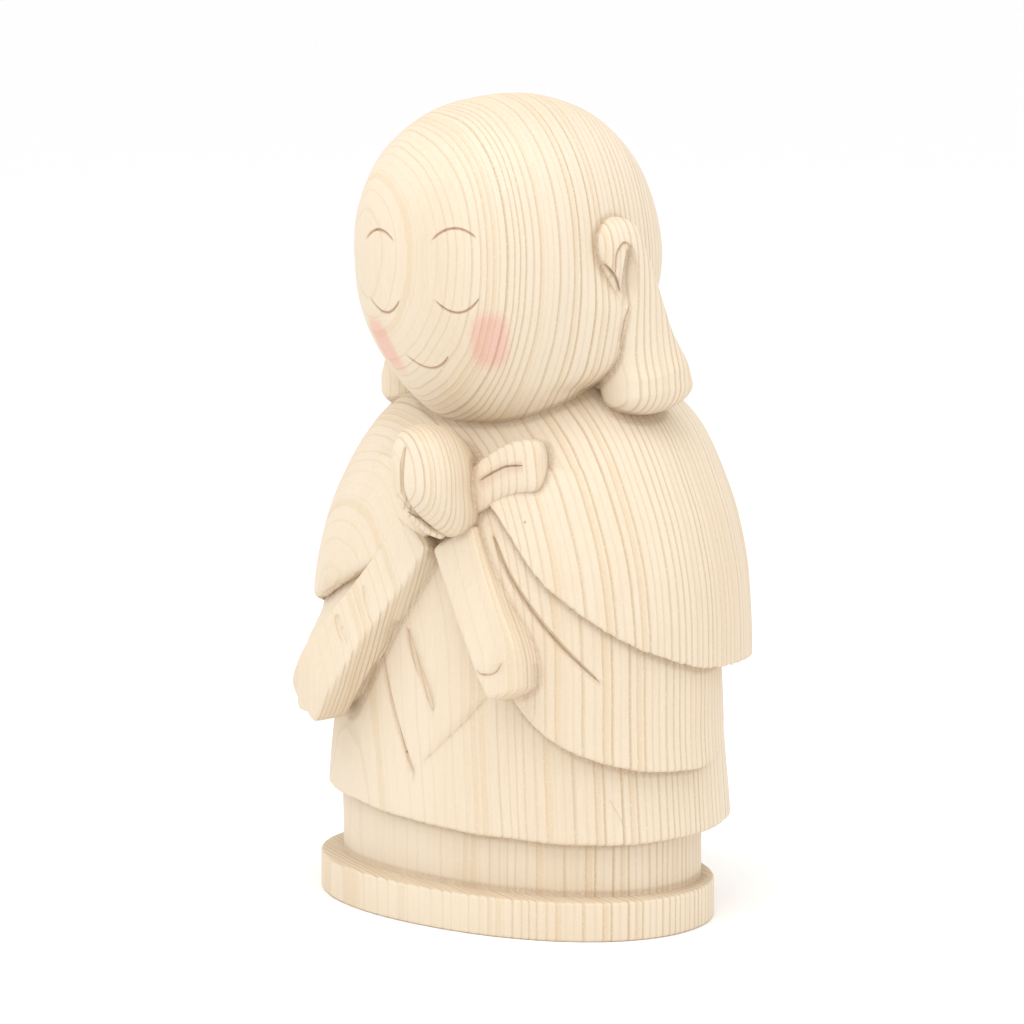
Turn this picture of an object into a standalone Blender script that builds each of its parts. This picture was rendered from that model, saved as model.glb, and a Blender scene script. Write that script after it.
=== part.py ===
"""Small wooden jizo: a praying child monk and the oval disc under its feet, carved from one block.

The figure faces -Y, its own left is +X and up is +Z. The origin is the middle of the underside.
The disc is given in metres. The figure above it is laid out in units, a 171.3th of its height and a
millimetre at the real size, with z = 0 on top of the disc. Angles go round the figure from the front
(0) towards its left (90), in degrees.
"""
import bpy
import bmesh
import numpy as np
from mathutils import Vector
from mathutils.bvhtree import BVHTree

MM = 0.001

# the block
FIGURE_HEIGHT = 171.3 * MM        # from the top of the disc to the crown
DISC_WIDTH = 97.6 * MM
DISC_DEPTH = 65.6 * MM
DISC_THICKNESS = 8.7 * MM
DISC_EDGE_ROUND = 0.7 * MM        # broken edge all round, above and below
DISC_SIDES = 64
WOOD_COLOUR = (0.82, 0.66, 0.44, 1.0)

UNIT = FIGURE_HEIGHT / 171.3      # the carving is drawn in these
FOOTING = 2.0                     # how far the skirt's shell reaches down into the disc, in units

# the robes' plan: half width, half depth in front and half depth behind, by height
BODY_CENTRE_Y = 3.5
PLAN_POWER = 2.12                 # between an ellipse (2) and a rounded oblong
SKIRT_PLAN = (44.6, 28.0, 31.0)
ROBE_HEIGHTS = (10, 21, 36, 53, 71, 86, 101)
ROBE_PLAN = ((49.6, 48.6, 47.2, 46.4, 45.0, 40.0, 30.0),
             (33.6, 33.0, 32.2, 31.6, 29.2, 25.5, 18.0),
             (36.8, 36.2, 35.8, 35.6, 34.6, 32.0, 25.0))
CAPE_HEIGHTS = (49, 57, 67, 79, 89, 97, 103, 109)
CAPE_PLAN = ((53.0, 52.8, 51.8, 48.6, 43.8, 38.6, 32.4, 23.5),
             (36.0, 35.6, 34.2, 31.0, 27.0, 22.2, 17.0, 10.0),
             (43.0, 43.0, 43.0, 42.6, 42.0, 40.8, 37.8, 30.5))
LEAST_OVERLAP = 2.0               # the cape always stands at least this far off the sleeves
OVERLAP_ENDS = (92.0, 100.0)      # heights over which that rule gives out, under the chin
LEAST_STEP = 0.06                 # what is left of the sleeve's hem where it has run out
UNDERCUT = 0.6                    # how far a layer goes up behind its hem, at most

# hems: height by angle round the figure
ROBE_HEM = ((-180, -110, -55, -22, 9, 60, 93, 180), (13.0, 13.0, 15.0, 13.8, 12.9, 11.9, 12.6, 13.0))
SLEEVE_HEM = ((-180, -112, -98, -85, -73, -62, -52, -40, -34, -27, -17, -3,
               3, 17, 27, 34, 41, 51, 62, 73, 85, 98, 112, 180),
              (37, 35.8, 34, 33, 32.8, 32.8, 33.5, 37.7, 43, 48.8, 55.3, 66,
               66, 55.3, 48.8, 42.8, 37.6, 32.8, 29.7, 28, 27.5, 30, 35, 37))
CAPE_HEM = ((-180, -120, -87, -60, -47, -34, -20, -6, 4, 9, 15, 20, 27, 34, 42, 50, 60, 70, 87, 120, 180),
            (49.0, 49.6, 53.4, 58.4, 62.8, 66.6, 69.9, 75.5, 81.1, 85, 86.3, 86, 82.6, 76.9, 69.7,
             64.6, 58.8, 54.3, 49.6, 48.4, 49.0))
HEM_ROUND = (1.4, 1.0, 1.5)       # of the robe, sleeves and cape

# sleeves: how far they stand off the robe, by height, on the figure's right and left
SLEEVE_HEIGHTS = (33, 45, 56, 65, 90)
SLEEVE_STAND_RIGHT = (9.0, 7.6, 3.6, 2.4, 2.0)
SLEEVE_STAND_LEFT = (3.4, 3.8, 4.0, 3.8, 2.4)
SLEEVE_FADE = (82, 114)           # they run out between these angles behind the arm
SLEEVE_MOUTH = ((36, 48, 56, 64, 72), (22, 15, 10, 5, 0))   # x of the opening's edge, by height

# sleeve mouths: centre of the front face from the wrist down, with its width
MOUTH_HEIGHTS_LEFT = (77.5, 68.3, 60.3, 52.3, 44.2)
MOUTH_HEIGHTS_RIGHT = (77.5, 68.3, 60.3, 52.3, 45.0, 34.8)
MOUTH_X = (4.8, 10.2, 15.4, 20.8)
MOUTH_Y = (-28.8, -30.6, -32.4, -33.9, -34.0, -31.5)
MOUTH_X_LEFT_END = 23.6
MOUTH_X_RIGHT = (4.8, 10.2, 16.0, 22.2, 28.0, 34.6)
MOUTH_WIDTH_LEFT = (12.6, 12.4, 12.4, 12.8, 9.0)
MOUTH_WIDTH_RIGHT = (12.6, 12.4, 12.4, 13.2, 14.5, 14.5)
MOUTH_DEPTH = 9.0
MOUTH_LEAN = (0.83, 0.06, 0.55)   # across the face, from the ridge to the outer edge, on the left
MOUTH_LEAN_RIGHT = (0.83, 0.26, 0.55)
MOUTH_POWER = 8.0
MOUTH_END_ROUND = (2.0, 6.0)      # of the lower end, on the left and right

# head
HEAD_CENTRE = (-0.6, -1.6, 134.2)
HEAD_HALF = (32.0, 32.6, 34.0)    # half width, front and back
HEAD_UP = 36.9                    # centre to crown, before the bow
HEAD_DOWN = 37.2
HEAD_POWER = 2.25
JAW = (0.12, 0.22, 4.0)           # narrowing in x and in y, and how far the chin comes forward
BOW = 8.0                         # degrees forward
TILT = -3.0                       # degrees towards the figure's right

HAND_CENTRE = (0.0, -31.6, 89.1)
HAND_HALF = (9.2, 7.7, 12.0, 12.2)   # half width, front, back and half height
HAND_RIGHT = 0.46                    # how much of that half width is left of the right hand
WRIST_SHIFT = (4.2, 3.6)             # the wrists stand this far to the left and back

# nape: fills in between the jaw and the ears, down into the shoulders
NAPE_BEHIND = 8.0                 # its middle behind the head's, and how far below
NAPE_BELOW = 24.0
NAPE_INSET = 1.4                  # its side inside the head's half width
NAPE_HALF = (10.5, 16.0, 17.0, 14.0)   # front, back, up and down

# ears: centre line of the left one from the rim down to the lobe, as how far it is outside the head's
# half width and its y and z from the head's middle, with its section
EAR_LINE = ((-1.2, -4.4, 9.8), (0.8, -3.8, 3.3), (1.3, -0.8, -4.7), (0.3, 3.2, -14.7),
            (0.0, 5.8, -24.2), (0.7, 6.6, -33.2))
EAR_WIDTH = (8.4, 11.9, 11.5, 12.9, 18.5, 19.8)
EAR_DEPTH = (5.0, 6.5, 6.9, 10.4, 17.6, 17.4)
EAR_LEAN = (0.26, 1.0, 0.0)
EAR_HOLLOW = (4.6, -5.0, 0.4)     # middle of the pointed hollow, placed as the line is, and its half sizes
EAR_HOLLOW_HALF = (3.4, 2.8, 7.2)

# the cloth's loop on the left of the chest
LOOP_LINE = ((4.0, -25.5, 83.0), (9.4, -24.2, 87.0), (14.5, -22.4, 90.8), (19.8, -20.6, 92.8), (23.6, -18.9, 93.0))
LOOP_WIDTH = (7.5, 9.0, 10.5, 11.8, 10.5)
LOOP_DEPTH = 6.0
LOOP_LEAN = (-0.35, 0.0, 1.0)

# chisel cuts, each a path seen from the front as (x, z), then its width, depth and lean to one side
FACE_LINE = (1.1, 0.55)
BROW = (10.2, 11.2, 4.9, 2.2)     # x, height over the head's middle, half width and rise of the arc
EYE = (10.0, -1.6, 5.0, 2.9)
SMILE = (-1.6, -14.3, 5.9, 2.9)
FOLDS = {
    "fold_right": (((-15.7, 48.4), (-14.4, 43.5), (-11.7, 36.5), (-7.8, 28.6), (-5.2, 24.2)), 2.2, 1.0, 0.4),
    "fold_middle": (((-8.5, 55.6), (-6.9, 51.4), (-4.8, 47.2), (-2.4, 42.8), (-0.2, 38.4)), 4.4, 1.5, 0.2),
    "fold_overlap": (((-2.1, 27.3), (3.6, 32.6), (8.3, 37.0), (13.4, 42.4)), 3.0, 0.7, 0.2),
    "fold_sleeve": (((14.5, 78.0), (18.6, 71.0), (25.0, 63.0), (31.2, 56.0), (38.6, 48.0)), 2.2, 1.4, 0.3),
    "loop_slit": (((9.8, 87.0), (14.6, 90.8), (20.6, 93.2)), 1.3, 1.0, 0.5),
}
SEAM = (0.72, 0.3, -0.36, -0.93)  # its places between the palms, as shares of the hands' half height
SEAM_CUT = (1.5, 1.0)
CUT_CLEARANCE = 1.0               # how far a cut's sides are carried on above the wood, of its depth
CUT_STEADY = 3                    # places before and after that a cut's own way up is averaged over
SIGHT_DISTANCE = 200.0            # the cuts' paths are looked for from this far in front

# facets: points round a shape and rows along it
BODY_SIDES = (34, 22)             # on the front half and on the back half
WALL_SIDES = (2, 5, 5, 10)        # rows on the skirt, the robe, the sleeves and the cape
HEM_BENDS = 2
HEAD_SIDES = (38, 21)
NAPE_SIDES = (24, 9)
HAND_SIDES = (18, 11)
MOUTH_SIDES = (16, 12)
EAR_SIDES = (14, 14)
LOOP_SIDES = (12, 10)
HOLLOW_SIDES = (12, 9)
SHARP_EDGE = 40                   # degrees


def smooth(x, low, high):
    """Smooth step from 0 at low to 1 at high."""
    t = np.clip((x - low) / (high - low), 0.0, 1.0)
    return t * t * (3.0 - 2.0 * t)


def through(x, xs, ys):
    """Monotone cubic through the points (xs, ys), level beyond its ends."""
    xs, ys = np.asarray(xs, float), np.asarray(ys, float)
    step = np.diff(xs)
    slope = np.diff(ys) / step
    tangent = np.empty_like(ys)
    same_way = slope[:-1] * slope[1:] > 0
    mean = 2 * slope[:-1] * slope[1:] / np.where(same_way, slope[:-1] + slope[1:], 1.0)
    tangent[1:-1] = np.where(same_way, mean, 0.0)
    tangent[0], tangent[-1] = slope[0], slope[-1]
    x = np.clip(x, xs[0], xs[-1])
    i = np.clip(np.searchsorted(xs, x, side="right") - 1, 0, len(step) - 1)
    t = (x - xs[i]) / step[i]
    return ((1 + 2 * t) * (1 - t) ** 2 * ys[i] + t * (1 - t) ** 2 * step[i] * tangent[i]
            + t * t * (3 - 2 * t) * ys[i + 1] + t * t * (t - 1) * step[i] * tangent[i + 1])


def plan_radius(angle, half_width, front, back):
    """Radius of the robes' plan at an angle: a superellipse with its own depth in front and behind."""
    half_depth = np.where(np.cos(angle) > 0, front, back)
    power = (np.abs(np.sin(angle)) / half_width) ** PLAN_POWER + (np.abs(np.cos(angle)) / half_depth) ** PLAN_POWER
    return power ** (-1 / PLAN_POWER)


def robe_radius(angle, z):
    return plan_radius(angle, *(through(z, ROBE_HEIGHTS, row) for row in ROBE_PLAN))


def sleeve_radius(angle, z):
    """The robe's radius and, beside the chest, how far the sleeve stands off it."""
    robe = robe_radius(angle, z)
    right = through(z, SLEEVE_HEIGHTS, SLEEVE_STAND_RIGHT)
    left = through(z, SLEEVE_HEIGHTS, SLEEVE_STAND_LEFT)
    around = np.abs(np.degrees(angle))
    mouth = through(z, *SLEEVE_MOUTH)
    across = np.abs(robe * np.sin(angle))
    front = np.where(around > 90, 1.0, smooth(across, mouth, mouth + 5.0))
    back = 1.0 - smooth(around, *SLEEVE_FADE)
    return robe + LEAST_STEP + np.where(angle < 0, right, left) * front * back


def cape_radius(angle, z):
    """The cape's own plan, never closer to the sleeves than the least overlap below the chin."""
    cape = plan_radius(angle, *(through(z, CAPE_HEIGHTS, row) for row in CAPE_PLAN))
    least = (sleeve_radius(angle, z) + LEAST_OVERLAP) * (1.0 - smooth(z, *OVERLAP_ENDS))
    return np.maximum(cape, least)


def hem_height(hem, angle):
    return through(np.degrees(angle), *hem)


def robes_surface(angles, walls, bends):
    """Rows of points from the foot to the neck: skirt, robe, sleeves and cape, each over its own hem.

    walls gives the number of rows on each wall, bends the rows round each hem.
    """
    rows = []

    def row(radius, z, shift=1.0):
        x = radius * np.sin(angles)
        y = BODY_CENTRE_Y * shift - radius * np.cos(angles)
        rows.append(np.stack([x, y, z + 0 * angles], -1))

    def wall(radius_at, low, high, count):
        for k in np.linspace(0, 1, count + 1)[1:]:
            z = low + (high - low) * k
            row(radius_at(z), z)

    def undercut(inner_at, outer_at, bottom):
        return np.minimum(UNDERCUT, 0.5 * np.maximum(outer_at(bottom) - inner_at(bottom), 0.0))

    def hem(inner, outer_at, bottom, round_):
        outer = outer_at(bottom + round_)
        round_ = np.minimum(round_, 0.7 * (outer - inner))
        for a in np.linspace(0, np.pi / 2, bends + 1):
            row(outer - round_ + round_ * np.sin(a), bottom + round_ * (1 - np.cos(a)))
        return bottom + round_

    def robe(z):
        return robe_radius(angles, z)

    def sleeves(z):
        return sleeve_radius(angles, z)

    def cape(z):
        return cape_radius(angles, z)

    skirt = plan_radius(angles, *SKIRT_PLAN)
    robe_hem, sleeve_hem, cape_hem = (hem_height(h, angles) for h in (ROBE_HEM, SLEEVE_HEM, CAPE_HEM))
    row(skirt, -FOOTING, 0.3)
    for k in np.linspace(0, 1, walls[0] + 1)[1:]:
        row(skirt, (robe_hem + UNDERCUT) * k, 0.3)
    low = hem(skirt, robe, robe_hem, HEM_ROUND[0])
    top = sleeve_hem + undercut(robe, sleeves, sleeve_hem)
    wall(robe, low, top, walls[1])
    low = hem(robe(top), sleeves, sleeve_hem, HEM_ROUND[1])
    top = cape_hem + undercut(sleeves, cape, cape_hem)
    wall(sleeves, low, top, walls[2])
    low = hem(sleeves(top), cape, cape_hem, HEM_ROUND[2])
    wall(cape, low, CAPE_HEIGHTS[-1], walls[3])
    return np.array(rows)


def turned(points, about, forward, sideways):
    """Points turned about a centre: bowed forward, then tilted sideways, in degrees."""
    a, b = np.radians([forward, sideways])
    bow = np.array([[1, 0, 0], [0, np.cos(a), -np.sin(a)], [0, np.sin(a), np.cos(a)]])
    tilt = np.array([[np.cos(b), 0, np.sin(b)], [0, 1, 0], [-np.sin(b), 0, np.cos(b)]])
    return (points - about) @ (tilt @ bow).T + about


def ball_surface(half_x, half_front, half_back, up, down, power, around, rings):
    """Rows of points on a superellipsoid about the origin, from its foot to its crown."""
    u = np.linspace(-np.pi, np.pi, around, endpoint=False)[None, :]
    v = np.linspace(-np.pi / 2, np.pi / 2, rings + 2)[1:-1, None]
    d = np.stack(np.broadcast_arrays(np.cos(v) * np.sin(u), -np.cos(v) * np.cos(u), np.sin(v)), -1)
    half_y = np.where(d[..., 1] < 0, half_front, half_back)
    half_z = np.where(d[..., 2] > 0, up, down)
    reach = (np.abs(d[..., 0] / half_x) ** power + np.abs(d[..., 1] / half_y) ** power
             + np.abs(d[..., 2] / half_z) ** power) ** (-1 / power)
    return d * reach[..., None]


def head_surface(around, rings):
    """The head: a superellipsoid whose jaw narrows and comes forward, bowed over the hands."""
    p = ball_surface(HEAD_HALF[0], HEAD_HALF[1], HEAD_HALF[2], HEAD_UP, HEAD_DOWN, HEAD_POWER, around, rings)
    jaw = smooth(-p[..., 2], 0.0, HEAD_DOWN)
    p[..., 0] *= 1 - JAW[0] * jaw
    p[..., 1] = p[..., 1] * (1 - JAW[1] * jaw) - JAW[2] * jaw
    return turned(p + HEAD_CENTRE, np.array(HEAD_CENTRE), BOW, TILT)


def nape_surface(around, rings):
    """The nape, as wide as the head, so that no gap is left between the jaw and the ears."""
    front, back, up, down = NAPE_HALF
    p = ball_surface(HEAD_HALF[0] - NAPE_INSET, front, back, up, down, 2.3, around, rings)
    return p + np.array(HEAD_CENTRE) + np.array([0.0, NAPE_BEHIND, -NAPE_BELOW])


def hands_surface(around, rings):
    """Both palms together: one rounded wedge, thin on the right, slanting back to narrow wrists."""
    half_width, front, back, half_height = HAND_HALF
    p = ball_surface(half_width, front, back, half_height, half_height, 2.4, around, rings)
    wrist = smooth(-p[..., 2], 0.0, half_height)
    p[..., 0] *= np.where(p[..., 0] < 0, HAND_RIGHT, 1.0) * (1 - 0.2 * wrist)
    p[..., 0] += WRIST_SHIFT[0] * wrist
    p[..., 1] = p[..., 1] * (1 - 0.15 * wrist) + WRIST_SHIFT[1] * wrist
    return p + HAND_CENTRE


def bar_surface(line, width, depth, lean, around, steps, power=3.0, round_ends=(2.0, 2.0)):
    """Rows of points of a flattened bar swept along a line, with rounded ends.

    lean is the direction across its width. The section is a superellipse.
    """
    line = np.asarray(line, float)
    along = np.concatenate([[0.0], np.cumsum(np.linalg.norm(np.diff(line, axis=0), axis=1))])
    t = (1 - np.cos(np.linspace(0, np.pi, steps))) / 2 * along[-1]
    centre = np.stack([through(t, along, line[:, k]) for k in range(3)], -1)
    tangent = np.gradient(centre, t, axis=0)
    tangent /= np.linalg.norm(tangent, axis=1, keepdims=True)
    across = np.array(lean, float) - tangent * (tangent @ np.array(lean, float))[:, None]
    across /= np.linalg.norm(across, axis=1, keepdims=True)
    out = np.cross(across, tangent)
    half_width = through(t, along, np.broadcast_to(width, along.shape)) / 2
    half_depth = through(t, along, np.broadcast_to(depth, along.shape)) / 2
    start = np.clip(t / round_ends[0], 0, 1)
    end = np.clip((along[-1] - t) / round_ends[1], 0, 1)
    cap = np.sqrt(np.clip(1 - (1 - start) ** 2, 0.02, 1) * np.clip(1 - (1 - end) ** 2, 0.02, 1))
    a = np.linspace(0, 2 * np.pi, around, endpoint=False) + np.pi / around
    u = np.sign(np.cos(a)) * np.abs(np.cos(a)) ** (2 / power)
    v = np.sign(np.sin(a)) * np.abs(np.sin(a)) ** (2 / power)
    return (centre[:, None] + (half_width * cap)[:, None, None] * u[None, :, None] * across[:, None]
            + (half_depth * cap)[:, None, None] * v[None, :, None] * out[:, None])


def mouth_surface(side, around, steps):
    """The thick front edge of a hanging sleeve, from the wrist down; side is 1 on the left, -1 on the right."""
    if side > 0:
        heights, width = MOUTH_HEIGHTS_LEFT, MOUTH_WIDTH_LEFT
        xs, lean, end = MOUTH_X + (MOUTH_X_LEFT_END,), MOUTH_LEAN, MOUTH_END_ROUND[0]
    else:
        heights, width = MOUTH_HEIGHTS_RIGHT, MOUTH_WIDTH_RIGHT
        xs, lean, end = MOUTH_X_RIGHT, MOUTH_LEAN_RIGHT, MOUTH_END_ROUND[1]
    line = [(side * x, y + MOUTH_DEPTH / 2, z) for x, y, z in zip(xs, MOUTH_Y, heights)]
    lean = (side * lean[0], lean[1], lean[2])
    return bar_surface(line, width, MOUTH_DEPTH, lean, around, steps, power=MOUTH_POWER, round_ends=(2.0, end))


def ear_place(side, x, y, z):
    """A place on an ear, from how far it is outside the head's half width, behind and above its middle."""
    return side * (HEAD_HALF[0] + x), HEAD_CENTRE[1] + y, HEAD_CENTRE[2] + z


def ear_surface(side, around, steps):
    """An ear with its long lobe, flaring out onto the shoulder."""
    line = [ear_place(side, *place) for place in EAR_LINE]
    lean = (side * EAR_LEAN[0], EAR_LEAN[1], EAR_LEAN[2])
    points = bar_surface(line, EAR_WIDTH, EAR_DEPTH, lean, around, steps, power=2.6, round_ends=(4.0, 5.0))
    return turned(points, np.array(HEAD_CENTRE), 0.0, TILT)


def arc(x, z, half_width, rise, count=9):
    """An arc as (x, z) points, rising in the middle, or sagging where rise is negative."""
    t = np.linspace(-1, 1, count)
    return [(x + half_width * s, z + rise * (1 - s * s)) for s in t]


# shapes to objects

def metres(points):
    """Units of the carving to metres, standing on the disc."""
    return np.asarray(points, float) * UNIT + np.array([0.0, 0.0, DISC_THICKNESS])


def wood():
    material = bpy.data.materials.new("softwood")
    material.use_nodes = True
    shader = material.node_tree.nodes["Principled BSDF"]
    shader.inputs["Base Color"].default_value = WOOD_COLOUR
    shader.inputs["Roughness"].default_value = 0.6
    shader.inputs["Metallic"].default_value = 0.0
    return material


def closed_surface(name, rows, collection):
    """A mesh object from rows of points, each row a ring, the first and last closed by a fan."""
    rows = metres(rows)
    mesh = bpy.data.meshes.new(name)
    bm = bmesh.new()
    rings = [[bm.verts.new(p) for p in row] for row in rows]
    ends = [bm.verts.new(rows[0].mean(axis=0)), bm.verts.new(rows[-1].mean(axis=0))]
    count = len(rings[0])
    for below, above in zip(rings, rings[1:]):
        for j in range(count):
            k = (j + 1) % count
            bm.faces.new((below[j], below[k], above[k], above[j]))
    for ring, end in ((rings[0], ends[0]), (rings[-1], ends[1])):
        for j in range(count):
            bm.faces.new((ring[j], ring[(j + 1) % count], end))
    bmesh.ops.recalc_face_normals(bm, faces=bm.faces)
    if bm.calc_volume(signed=True) < 0:
        bmesh.ops.reverse_faces(bm, faces=bm.faces)
    bm.to_mesh(mesh)
    bm.free()
    obj = bpy.data.objects.new(name, mesh)
    collection.objects.link(obj)
    return obj


def disc(collection):
    """The oval disc under the figure, its edges broken."""
    mesh = bpy.data.meshes.new("disc")
    bm = bmesh.new()
    bmesh.ops.create_cone(bm, cap_ends=True, segments=DISC_SIDES, radius1=1.0, radius2=1.0, depth=DISC_THICKNESS)
    for v in bm.verts:
        angle = np.arctan2(v.co.x, -v.co.y)
        v.co.xy *= float(plan_radius(angle, DISC_WIDTH / 2, DISC_DEPTH / 2, DISC_DEPTH / 2))
        v.co.z += DISC_THICKNESS / 2
    rims = [e for e in bm.edges if any(len(f.verts) > 4 for f in e.link_faces)]
    bmesh.ops.bevel(bm, geom=rims, offset=DISC_EDGE_ROUND, segments=2, profile=0.5, affect="EDGES")
    bm.to_mesh(mesh)
    bm.free()
    obj = bpy.data.objects.new("disc", mesh)
    collection.objects.link(obj)
    return obj


def guide(obj):
    """Marks an object that only shapes the figure."""
    obj.hide_render = True
    obj.display_type = "WIRE"
    return obj


def boolean(target, other, operation):
    modifier = target.modifiers.new(other.name, "BOOLEAN")
    modifier.operation = operation
    modifier.solver = "EXACT"
    modifier.object = other


def wood_surface(obj):
    """A search tree of an object's surface as its modifiers leave it."""
    depsgraph = bpy.context.evaluated_depsgraph_get()
    return BVHTree.FromObject(obj, depsgraph)


def chisel_cut(name, tree, path, width, depth, lean, collection, on_face=False):
    """A V-cut along a path of (x, z) seen from the front, or from in front of the bowed face.

    The path is found on the wood by looking at it, and the cut tapers to a point at both ends. lean is
    the share of its width on the left of the line of its bottom.
    """
    t = np.linspace(0, 1, len(path))
    s = np.linspace(0, 1, max(2 * len(path) + 1, 9))
    xs, zs = (through(s, t, [p[k] for p in path]) for k in (0, 1))
    rings = []
    for x, z, at in zip(xs, zs, s):
        sight = np.array([(x, -SIGHT_DISTANCE, z), (x, 0.0, z)])
        if on_face:
            sight = turned(sight + np.array(HEAD_CENTRE), np.array(HEAD_CENTRE), BOW, TILT)
        start, end = (Vector(p) for p in metres(sight))
        point, normal, _, _ = tree.ray_cast(start, (end - start).normalized())
        rings.append((point, normal, at))
    vertices = []
    for i, (point, normal, at) in enumerate(rings):
        ahead = rings[min(i + 1, len(rings) - 1)][0] - rings[max(i - 1, 0)][0]
        mean = sum((r[1] for r in rings[max(i - CUT_STEADY, 0):i + CUT_STEADY + 1]), Vector())
        mean.normalize()
        side = ahead.cross(mean).normalized()
        taper = (1 - (2 * at - 1) ** 4) ** 0.5 * 0.9 + 0.1
        half = width * UNIT * taper
        deep = depth * UNIT * taper
        bottom = point - mean * deep
        up = 1 + CUT_CLEARANCE
        left = bottom + (mean * deep + side * half * lean) * up
        right = bottom + (mean * deep - side * half * (1 - lean)) * up
        vertices.append((bottom, left, right))
    mesh = bpy.data.meshes.new(name)
    bm = bmesh.new()
    rows = [[bm.verts.new(p) for p in ring] for ring in vertices]
    for before, after in zip(rows, rows[1:]):
        for j in range(3):
            bm.faces.new((before[j], before[(j + 1) % 3], after[(j + 1) % 3], after[j]))
    bm.faces.new(rows[0])
    bm.faces.new(rows[-1])
    bmesh.ops.recalc_face_normals(bm, faces=bm.faces)
    bm.to_mesh(mesh)
    bm.free()
    obj = bpy.data.objects.new(name, mesh)
    collection.objects.link(obj)
    return guide(obj)


def body_angles(front, back):
    """Angles round the figure, closer together on its front half."""
    return np.concatenate([np.linspace(-90, 90, front, endpoint=False), np.linspace(90, 270, back, endpoint=False)])


def main():
    for old in list(bpy.data.objects):
        bpy.data.objects.remove(old)
    collection = bpy.context.scene.collection
    angles = np.radians(body_angles(*BODY_SIDES))
    angles = (angles + np.pi) % (2 * np.pi) - np.pi
    figure = closed_surface("jizo_statue", robes_surface(angles, WALL_SIDES, HEM_BENDS), collection)
    figure.data.materials.append(wood())

    sides = ((1, "left"), (-1, "right"))
    rows = {"head": head_surface(*HEAD_SIDES), "nape": nape_surface(*NAPE_SIDES)}
    for side, word in sides:
        rows["mouth_" + word] = mouth_surface(side, *MOUTH_SIDES)
        rows["ear_" + word] = ear_surface(side, *EAR_SIDES)
    rows["hands"] = hands_surface(*HAND_SIDES)
    rows["loop"] = bar_surface(LOOP_LINE, LOOP_WIDTH, LOOP_DEPTH, LOOP_LEAN, *LOOP_SIDES)
    boolean(figure, guide(disc(collection)), "UNION")
    for name, points in rows.items():
        boolean(figure, guide(closed_surface(name, points, collection)), "UNION")

    tree = wood_surface(figure)
    cuts = []
    for side, word in sides:
        brow = arc(side * BROW[0], *BROW[1:])
        eye = arc(side * EYE[0], EYE[1], EYE[2], -EYE[3])
        cuts.append(chisel_cut("brow_" + word, tree, brow, *FACE_LINE, 0.5, collection, on_face=True))
        cuts.append(chisel_cut("eye_" + word, tree, eye, *FACE_LINE, 0.5, collection, on_face=True))
    smile = arc(SMILE[0], SMILE[1], SMILE[2], -SMILE[3])
    cuts.append(chisel_cut("smile", tree, smile, *FACE_LINE, 0.5, collection, on_face=True))
    for name, (path, width, depth, lean) in FOLDS.items():
        cuts.append(chisel_cut(name, tree, path, width, depth, lean, collection))
    seam = [(HAND_CENTRE[0], HAND_CENTRE[2] + HAND_HALF[3] * share) for share in SEAM]
    cuts.append(chisel_cut("seam", tree, seam, *SEAM_CUT, 0.5, collection))
    for side, word in sides:
        half_x, half_y, half_z = EAR_HOLLOW_HALF
        hollow = ball_surface(half_x, half_y, half_y, half_z, half_z, 1.6, *HOLLOW_SIDES)
        place = np.array(ear_place(side, *EAR_HOLLOW))
        cuts.append(guide(closed_surface("ear_hollow_" + word, hollow + place, collection)))
    for cut in cuts:
        boolean(figure, cut, "DIFFERENCE")

    figure.data.shade_smooth()
    figure.data.set_sharp_from_angle(angle=np.radians(SHARP_EDGE))


main()
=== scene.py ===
"""Carved wooden jizo: a praying child monk and the oval disc under its feet, cut from one block of
softwood, with the growth rings, tool marks, hair-thin face lines and rouge of the real one.

The figure faces -Y, its own left is +X and up is +Z. Its carving is laid out in millimetres with z = 0 on
top of the disc, and angles go round it from the front (0) towards its left (90), in degrees.
"""

import bpy
import numpy as np
from bpy.props import FloatProperty, FloatVectorProperty, PointerProperty
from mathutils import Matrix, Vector
from mathutils.bvhtree import BVHTree


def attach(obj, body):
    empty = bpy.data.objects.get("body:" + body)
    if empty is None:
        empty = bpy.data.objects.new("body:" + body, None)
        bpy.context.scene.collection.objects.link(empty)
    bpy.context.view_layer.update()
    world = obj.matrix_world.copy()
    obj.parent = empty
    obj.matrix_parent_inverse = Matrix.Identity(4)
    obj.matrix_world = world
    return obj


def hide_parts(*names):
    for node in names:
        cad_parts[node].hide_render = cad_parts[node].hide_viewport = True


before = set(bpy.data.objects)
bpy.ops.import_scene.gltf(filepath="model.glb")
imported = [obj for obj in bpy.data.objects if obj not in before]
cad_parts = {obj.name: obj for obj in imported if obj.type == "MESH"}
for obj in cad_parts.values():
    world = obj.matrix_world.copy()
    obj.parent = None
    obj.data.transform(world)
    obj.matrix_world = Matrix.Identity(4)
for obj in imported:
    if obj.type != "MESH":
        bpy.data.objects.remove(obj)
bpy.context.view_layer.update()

bl_info = {
    "name": "Carved wooden jizo",
    "version": (1, 0, 0),
    "blender": (4, 5, 0),
    "location": "3D View > Sidebar > Jizo",
    "description": "Carves the statue in fine detail, gives it its wood and sets its stage",
    "category": "Object",
}

MM = 0.001
NODE = "jizo_statue"
DRAWN_HEIGHT = 171.3              # the carving is drawn for a figure of this height, in millimetres
FOOTING = 2.0                     # how far the skirt's shell reaches down into the disc

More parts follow.
